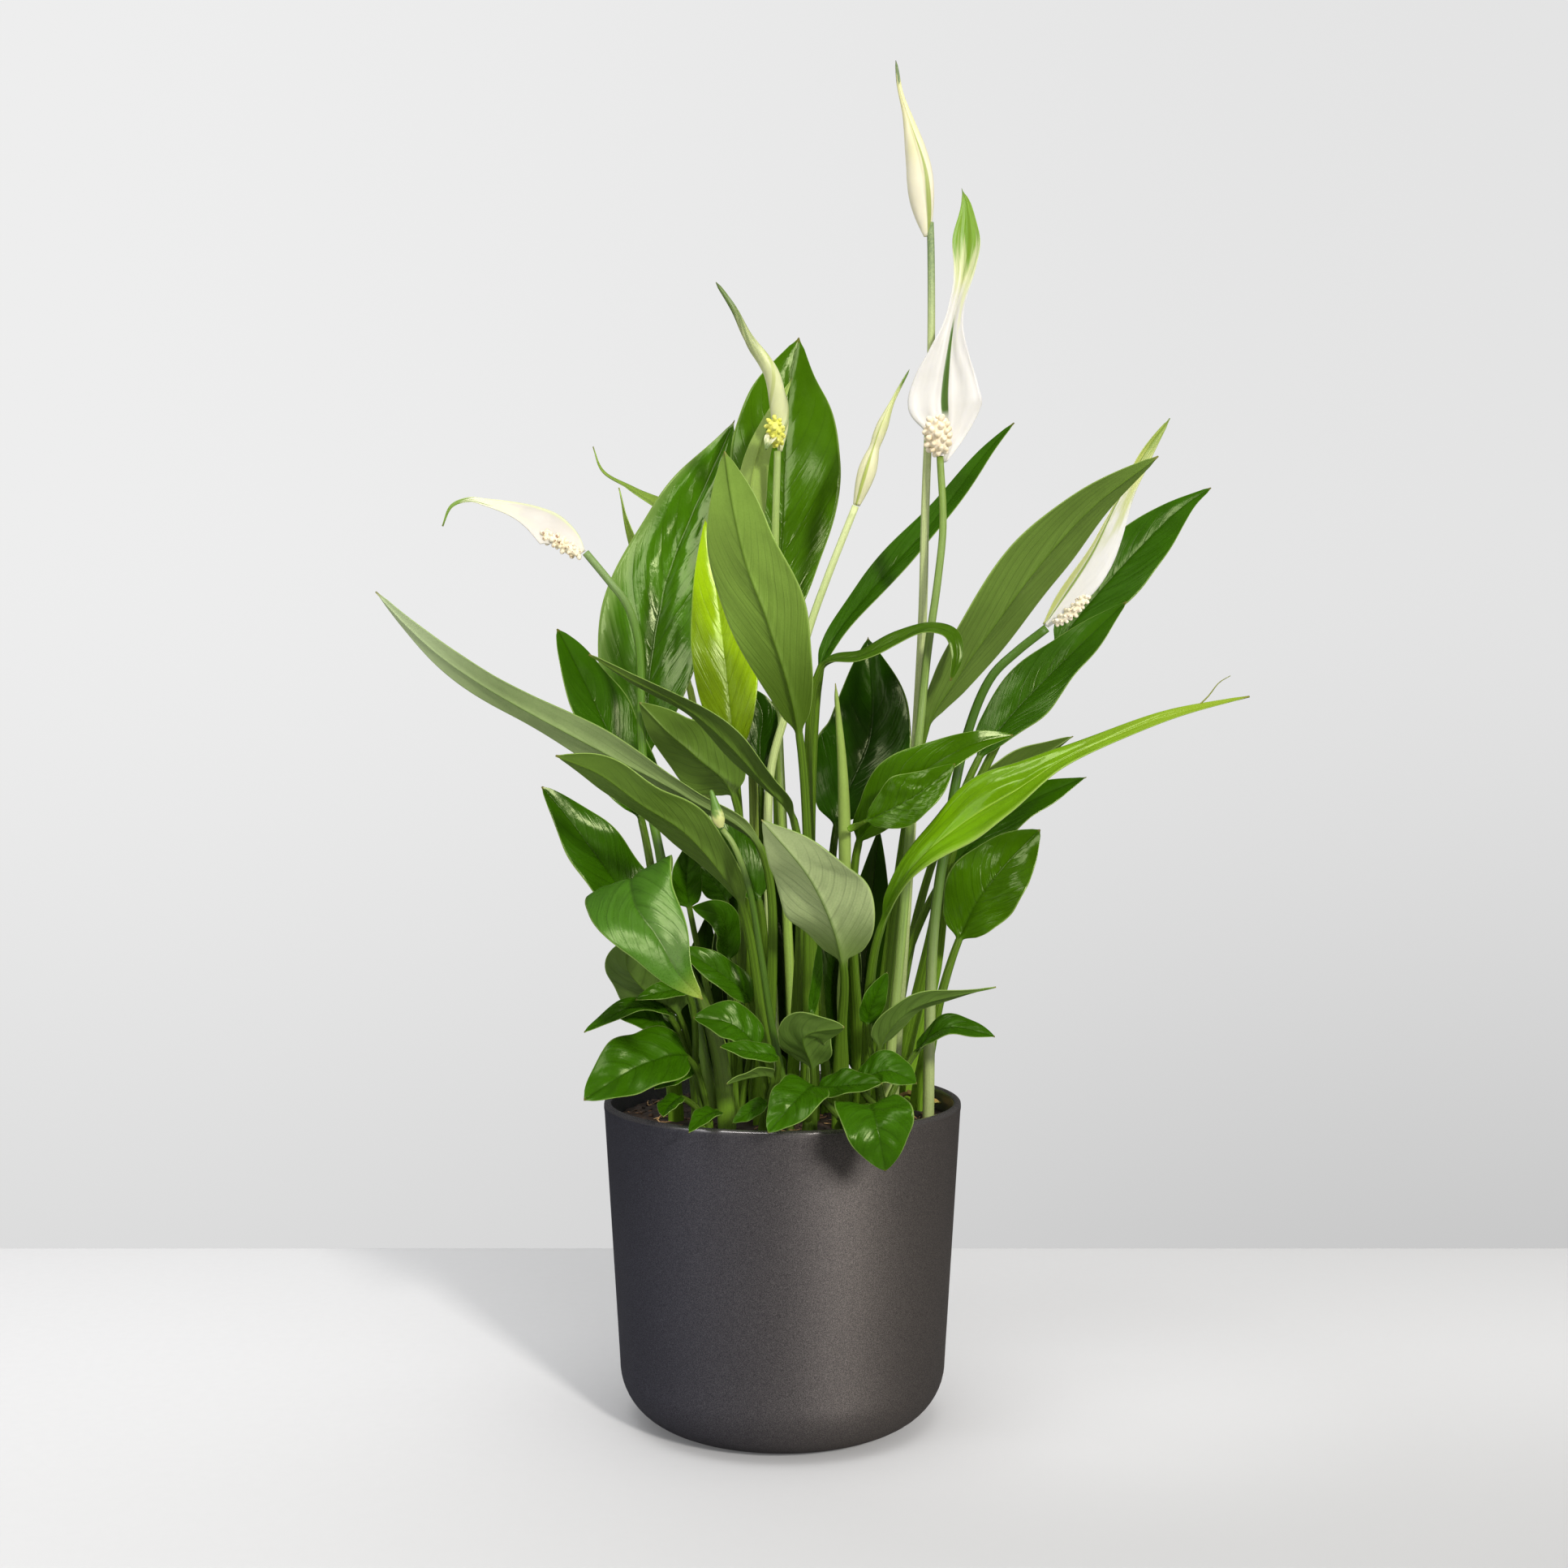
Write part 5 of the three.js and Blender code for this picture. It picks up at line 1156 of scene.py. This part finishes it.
LEAF_FINISHES = {
    "leaf_green": dict(upper=(52, 87, 1), under=(79, 102, 34), stalk=STALK, shine=0.13),
    # painted sheen: the pale grey-green band along one side (edge) of leaf_sheen is light caught from the
    # upper left
    "leaf_sheen": dict(upper=(56, 98, 4), under=(88, 114, 40), stalk=STALK, shine=0.12, level=0.46,
                       edge=((116, 142, 72), 1, 0.66)),
    "leaf_droop": dict(upper=(56, 98, 14), under=(88, 114, 40), stalk=STALK, shine=0.24, level=0.95,
                       tip=((132, 150, 56), 0.86)),
    "leaf_dark": dict(upper=(40, 76, 1), under=(66, 88, 24), stalk=STALK, shine=0.17, level=0.34),
    "leaf_far": dict(upper=(40, 77, 1), under=(66, 88, 24), stalk=STALK, shine=0.22, level=0.16),
    # painted shade: the near-black green of leaves that stand in shade behind the others
    "leaf_shaded_deep": dict(upper=(24, 54, 1), under=(44, 66, 14), stalk=(50, 74, 12), shine=0.15),
    "leaf_shade": dict(upper=(20, 42, 1), under=(28, 48, 6), stalk=(36, 56, 10), shine=0.13),
    "leaf_fresh": dict(upper=(98, 141, 4), under=(112, 138, 62), stalk=(84, 116, 26), rib=(150, 182, 60),
                       shine=0.13, level=0.55, edge=((150, 172, 76), -1, 0.78), base=((66, 104, 6), 0.3),
                       tip=((132, 152, 44), 0.45), veins=5.0, sweep=0.7, calm=0.5),
    "leaf_lit": dict(upper=(132, 164, 7), under=(112, 138, 20), stalk=STALK, rib=(118, 150, 16), shine=0.2),
    "leaf_olive": dict(upper=OLIVE, under=(84, 110, 38), stalk=STALK, shine=0.13, level=DULL_BACK),
    # painted shade: the darker lower part (base) of leaf_olive_front, whose upper part catches the light
    "leaf_olive_front": dict(upper=OLIVE, under=(112, 140, 56), stalk=STALK, shine=0.12, level=DULL_BACK,
                             base=((56, 82, 2), 0.66), veins=12.0, sweep=0.45),
    "leaf_plaited": dict(upper=OLIVE, under=(86, 110, 42), stalk=STALK, shine=0.14, level=DULL_BACK,
                         veins=5.0, sweep=1.0, calm=0.95),
    "leaf_grey_back": dict(upper=(52, 92, 8), under=(156, 170, 118), stalk=STALK, shine=0.14,
                           level=DULL_BACK, base=((92, 116, 46), 0.4)),
    "leaf_strap": dict(upper=(52, 92, 8), under=(132, 150, 96), stalk=STALK, shine=0.2, level=DULL_BACK,
                       base=((94, 116, 54), 0.5), tip=((164, 178, 138), 0.6), veins=5.0, sweep=0.7,
                       calm=0.5),
    "leaf_pale": dict(upper=(120, 146, 56), under=(134, 156, 76), stalk=(128, 150, 62), rib=(156, 174, 96),
                      shine=0.15, calm=0.4, level=DULL_BACK),
    "leaf_young": dict(upper=(44, 82, 2), under=(76, 100, 38), stalk=(78, 106, 28), shine=0.2, veins=6.0,
                       sweep=0.3, level=0.26),
    "leaf_dry": dict(upper=(160, 132, 60), under=(150, 122, 64), stalk=(140, 110, 58), rib=(96, 70, 40),
                     shine=0.6, tip=((190, 160, 90), 0.5)),
}

# The colours of each stem, its paler foot and its top, then where the foot ends and the top starts
SCAPE_FINISHES = {
    "tall": ("scape_tall_pale", (178, 190, 128), (120, 138, 74), (100, 124, 76), 0.55, 0.84),
    "open": ("scape_open_green", (118, 144, 66), (160, 176, 100), (120, 146, 56)),
    "centre": ("scape_centre_pale", (140, 168, 72), (120, 146, 56), (152, 172, 100)),
    "bud": ("scape_bud_pale", (176, 192, 120), (110, 136, 50), (200, 208, 150), 0.5),
    "hooded": ("scape_hooded_green", (84, 122, 28), (110, 136, 50), (120, 144, 84)),
    "folded": ("scape_folded_green", (62, 98, 12), (172, 184, 120), (72, 108, 18), 0.6),
    "small": ("scape_small_green", (70, 102, 20), (96, 124, 44), (130, 152, 74)),
}

CREAM = (226, 222, 184)

# tip_span, rib_span and flush say where along the spathe their colour starts and ends. rib_share: how strong
# the midrib shows, rib_wide: half its width as a share of the blade's.
SPATHE_FINISHES = {
    "tall": dict(name="spathe_tall_cream", inner=CREAM, outer=(226, 220, 192), tip=(96, 116, 72),
                 tip_span=(0.84, 0.9), rib=(176, 180, 80), flush=((212, 208, 150), 0.3, 0.8),
                 seam=(128, 146, 24)),
    "centre": dict(name="spathe_centre_cream", inner=CREAM, outer=(204, 208, 156), tip=(92, 114, 54),
                   tip_span=(0.5, 0.9), rib=(170, 180, 96), flush=((190, 196, 140), 0.3, 0.7),
                   seam=(128, 142, 76)),
    "bud": dict(name="spathe_bud_cream", inner=CREAM, outer=(216, 214, 172), tip=(84, 116, 44),
                tip_span=(0.76, 0.96), rib=(150, 168, 60), rib_share=0.8,
                flush=((192, 200, 130), 0.4, 0.85), seam=(152, 168, 56)),
    "small": dict(name="spathe_small_yellow", inner=CREAM, outer=(198, 202, 128), tip=(92, 130, 46),
                  tip_span=(0.2, 0.55), rib=(150, 176, 70)),
    "open": dict(name="spathe_open_white", inner=(211, 208, 200), outer=(200, 200, 184), tip=(98, 138, 18),
                 tip_span=(0.66, 0.86), rib=(56, 92, 6), rib_share=0.95, rib_span=(0.16, 0.56),
                 rib_wide=0.07, flush=((196, 200, 142), 0.48, 0.7)),
    "hooded": dict(name="spathe_hooded_white", inner=(192, 184, 168), outer=(204, 198, 184),
                   tip=(100, 132, 40), tip_span=(0.7, 0.8), rib=(190, 200, 140),
                   flush=((212, 210, 176), 0.4, 0.66)),
    "folded": dict(name="spathe_folded_cream", inner=(222, 220, 214), outer=(184, 194, 104),
                   tip=(116, 142, 46), tip_span=(0.78, 1.0), rib=(110, 136, 26), rib_share=0.8,
                   flush=((180, 188, 100), 0.42, 0.72), edge=((172, 184, 84), 1, 0.05)),
}

# Each spadix's body, its knobs and how much of it has brown spots: its own specks, and painted shade between
# the knobs
SPADIX_FINISHES = {
    "open": ("spadix_open_cream", (226, 208, 170), (240, 228, 204), 0.16),
    "centre": ("spadix_centre_yellow", (206, 206, 70), (226, 224, 110), 0.1),
    "hooded": ("spadix_hooded_cream", (226, 212, 172), (240, 230, 204), 0.75),
    "folded": ("spadix_folded_cream", (232, 220, 186), (244, 234, 212), 0.6),
}

# ---- Leaves ----

LEAF_SKINS = {name: leaf_material(name, **row) for name, row in LEAF_FINISHES.items()}

for name, row in LEAVES.items():
    points = rooted(row["root"], row["path"])
    leaf = leaf_skin("leaf_" + name + "_blade", points, 2 + row.get("neck", 0), {**GROWN, **row})
    if "hair" in row:
        hair = rod_skin("hair", row["hair"], HAIR_RADII, 10, 6)
        for loop in hair.data.uv_layers[0].data:
            loop.uv.y = 0.995
        leaf = joined(leaf.name, [leaf, hair])
    if "flap" in row:
        leaf = joined(leaf.name, [leaf, leaf_skin("flap", row["flap"], 1, {**GROWN, **FLAP})])
    finished(leaf, LEAF_SKINS[row["skin"]], row.get("slot", "leaf"), "leaf_" + name)

for letter, row in SHADE.items():
    leaf = leaf_skin("shade_leaf_" + letter, rooted(row["root"], row["path"]), 2, {**GROWN, **row})
    finished(leaf, LEAF_SKINS["leaf_shade"], "leaf")

spike = rolled_skin("new_leaf_spike", rooted(SPIKE_ROOT, SPIKE_PATH), SPIKE_RADII, rows=90, sides=24)
finished(spike, LEAF_SKINS["leaf_pale"], "young_leaf", "leaf_new_spike")

for name, cluster in YOUNG.items():
    x, y = cluster["root"]
    stub = [[x, y, STEM_FOOT], [x, y, STUB_MIDDLE], [x, y, STEM_COLLAR]]
    pieces = [rod_skin("sheath", stub, STUB_RADII, 12)]
    for i, row in enumerate(cluster["leaves"]):
        angle = i / len(cluster["leaves"]) * math.tau + 0.4
        ax, ay = x + YOUNG_SPREAD * math.cos(angle), y + YOUNG_SPREAD * math.sin(angle)
        points = [[ax, ay, STEM_FOOT + 5], [ax, ay, STEM_COLLAR], *row["path"]]
        pieces.append(leaf_skin("young", points, 2, {**SMALL, **row}))
    bunch = joined("young_" + name + "_cluster", pieces)
    finished(bunch, LEAF_SKINS["leaf_young"], "young_leaf", "young_leaves_" + name)

# ---- Flowers ----

SCAPE_SKINS = {name: scape_material(*row) for name, row in SCAPE_FINISHES.items()}
SPATHE_SKINS = {name: spathe_material(**row) for name, row in SPATHE_FINISHES.items()}
SPADIX_SKINS = {name: spadix_material(*row) for name, row in SPADIX_FINISHES.items()}

for name, row in SCAPES.items():
    thick, thin = row["radii"]
    points = rooted(row["root"], row["path"])
    stem = rod_skin("stem_" + name, points, [thick, mix(thick, thin, 0.5), thin], 70)
    finished(stem, SCAPE_SKINS[name], "scape", "scape_" + name)

for name, row in ROLLED.items():
    bloom = rolled_skin("bloom_" + name, **row)
    if name == "centre":
        bloom = joined(bloom.name, [bloom, open_skin("white_lobe", **WHITE_LOBE)])
    finished(bloom, SPATHE_SKINS[name], "spathe", "spathe_" + name)
for name, row in OPEN.items():
    finished(open_skin("bloom_" + name, **row), SPATHE_SKINS[name], "spathe", "spathe_" + name)
for name, row in SPADICES.items():
    finished(spadix_piece("knobs_" + name, **row), SPADIX_SKINS[name], "spadix", "spadix_" + name)

# ---- Pot and soil ----

finished(pot_piece(), pot_material(), "pot", "pot")
peat = soil_material("soil_peat", (40, 30, 24), (84, 62, 46), 0.35)
finished(soil_piece(), peat, "soil", "soil")
crumbs, bark = crumb_pieces()
finished(crumbs, soil_material("soil_crumb", (48, 36, 28), (104, 80, 58), 0.5), "soil", "soil")
finished(bark, soil_material("bark_chip", (112, 80, 52), (168, 132, 92), 0.7, 900.0), "soil", "soil")
fibres = fibre_piece()
finished(fibres, soil_material("root_fibre", (150, 118, 78), (190, 162, 116), 0.6), "soil", "soil")

# ---- Floor, wall, light and camera ----
# From here on places and sizes are in metres.

STAGE_SIZE = 8
FLOOR_DEPTH = 0.251  # how far behind the pot's axis the wall stands
PHOTO_WIDTH = 1932
FOCAL_LENGTH = 2240  # in the photo's pixels
SENSOR_WIDTH = 36
EYE = (0.0006, -0.716, 0.247)
NEAREST, FARTHEST = 0.02, 30
# painted light: the floor glows a little of its own, which lifts the shade round the pot
FLOOR_GLOW = 1.16
GLOW_SHARE = 0.1  # how much of the floor's light is its own
SKY_LIGHT = 0.62
SKY_SHINE = 0.04  # how bright the sky is in glossy reflections

# name, place, target, size, power and colour. The last word says whether a lamp's light is only diffuse
# ("lights"), only glossy ("shines") or both.
LAMPS = [
    ("key_right", (1.4, -2.83, 1.52), (0, 0, 0.16), (0.3, 0.4), 104, (1.0, 0.97, 0.93), "lights"),
    ("key_sheen", (1.96, -2.48, 1.52), (0, 0, 0.16), (0.95, 1.25), 106, (1.0, 0.98, 0.95), "shines"),
    ("fill_left", (-1.5, -1.1, 0.9), (0, 0, 0.25), (0.9, 0.9), 4, (0.94, 0.97, 1.0), "both"),
    ("top", (-0.1, -0.6, 1.75), (0, 0, 0.25), (1.2, 0.8), 12, (1, 1, 1), "lights"),
    ("top_sheen", (-0.7, -0.9, 1.5), (0, 0, 0.25), (0.9, 0.5), 9, (1, 1, 1), "shines"),
]


def grey(level):
    return tint(level, level, level)


def stage_plane(name, place, turn):
    """A flat plane of the stage, with its place in its mesh."""
    pick()
    bpy.ops.mesh.primitive_plane_add(size=STAGE_SIZE, location=place, rotation=(turn, 0, 0))
    plane = bpy.context.object
    plane.name = name
    bpy.ops.object.transform_apply(location=True, rotation=True, scale=True)
    return plane


def floor_piece():
    floor = stage_plane("floor", (0, 0, 0), 0)
    material, tree, skin = new_material("floor_pale")
    place = wire(tree, "TexCoord").outputs["Object"]
    fine = grain(tree, place, 220.0, 3.0, 0.5)
    x, y, _ = split(tree, place)
    # painted shade: the floor is darker towards the right and the front, most at the front right
    painted_side_light = ease(tree, x, -0.35, 0.45)
    painted_front_shade = ease(tree, y, -0.2, 0.1, 1.0, 0.0)
    colour = blend(tree, fine, tint(219, 219, 220), tint(223, 223, 224))
    colour = layered(tree, colour, (painted_side_light, 0.7, grey(204)), (painted_front_shade, 0.45, grey(204)),
                     (painted_front_shade, painted_side_light, grey(182)))
    # painted light: a pool of lighter floor beside the pot, on its right, that takes out the shade there
    apart = wire(tree, "VectorMath", {0: place, 1: (0.1, 0.02, 0.0)}, operation="DISTANCE").outputs["Value"]
    colour = blend(tree, ease(tree, apart, 0.02, 0.16, 0.3, 0.0), colour, tint(236, 236, 237))
    tree.links.new(colour, skin.inputs["Base Color"])
    skin.inputs["Roughness"].default_value = 0.8
    # painted light: a share of the floor's colour glows
    glow = wire(tree, "Emission", {"Color": colour, "Strength": FLOOR_GLOW})
    lit = wire(tree, "MixShader", {0: GLOW_SHARE, 1: skin.outputs[0], 2: glow.outputs[0]})
    dim = wire(tree, "BsdfDiffuse", {"Color": (0.1, 0.1, 0.1, 1)})
    ray = wire(tree, "LightPath").outputs["Is Glossy Ray"]
    both = wire(tree, "MixShader", {0: ray, 1: lit.outputs[0], 2: dim.outputs[0]})
    tree.links.new(both.outputs[0], tree.nodes["Material Output"].inputs[0])
    floor.data.materials.append(material)


def wall_piece():
    """A pale wall that glows instead of taking light, so nothing casts a shadow on it, painted darker towards
    the bottom and the right (painted shade), dark in reflections and shown only from its front.
    """
    wall = stage_plane("wall", (0, FLOOR_DEPTH, STAGE_SIZE / 2), math.pi / 2)
    material = bpy.data.materials.new("wall_pale")
    tree = bare_tree(material)
    x, _, z = split(tree, wire(tree, "TexCoord").outputs["Object"])
    # painted shade: the wall is darker towards the bottom and the right
    painted_side_light = ease(tree, x, -0.42, 0.42)
    low = blend(tree, painted_side_light, grey(211), grey(185))
    high = blend(tree, painted_side_light, grey(238), grey(228))
    ray = wire(tree, "LightPath").outputs["Is Glossy Ray"]
    colour = blend(tree, ray, blend(tree, ease(tree, z, -0.25, 0.4), low, high), (0.05, 0.05, 0.05, 1))
    glow = wire(tree, "Emission", {"Color": colour, "Strength": 1.0})
    clear = wire(tree, "BsdfTransparent")
    back = wire(tree, "NewGeometry").outputs["Backfacing"]
    both = wire(tree, "MixShader", {0: back, 1: glow.outputs[0], 2: clear.outputs[0]})
    tree.links.new(both.outputs[0], tree.nodes.new("ShaderNodeOutputMaterial").inputs[0])
    wall.data.materials.append(material)


def softbox(name, place, target, size, power, colour, role):
    """A soft rectangular lamp."""
    light = bpy.data.lights.new(name, "AREA")
    light.shape = "RECTANGLE"
    light.size, light.size_y = size
    light.energy = power
    light.color = colour
    lamp = placed(name, light)
    lamp.visible_diffuse = role != "shines"
    lamp.visible_glossy = role != "lights"
    lamp.location = place
    lamp.rotation_euler = (Vector(target) - Vector(place)).to_track_quat("-Z", "Y").to_euler()


def studio_world():
    """Even pale light all round, kept low in reflections so that the leaves keep their depth."""
    world = bpy.data.worlds.new("studio")
    bpy.context.scene.world = world
    tree = bare_tree(world)
    pale = (0.8, 0.8, 0.8, 1)
    full = wire(tree, "Background", {"Color": pale, "Strength": SKY_LIGHT})
    low = wire(tree, "Background", {"Color": pale, "Strength": SKY_SHINE})
    ray = wire(tree, "LightPath").outputs["Is Glossy Ray"]
    both = wire(tree, "MixShader", {0: ray, 1: full.outputs[0], 2: low.outputs[0]})
    tree.links.new(both.outputs[0], tree.nodes.new("ShaderNodeOutputWorld").inputs[0])


floor_piece()
wall_piece()
for lamp_row in LAMPS:
    softbox(*lamp_row)
studio_world()

camera = bpy.data.cameras.new("camera")
camera.sensor_width = SENSOR_WIDTH
camera.lens = SENSOR_WIDTH * FOCAL_LENGTH / PHOTO_WIDTH
camera.clip_start, camera.clip_end = NEAREST, FARTHEST
eye = placed("camera", camera)
eye.location = EYE
eye.rotation_euler = (math.pi / 2, 0, 0)
bpy.context.scene.camera = eye
bpy.context.scene.view_settings.view_transform = "Standard"
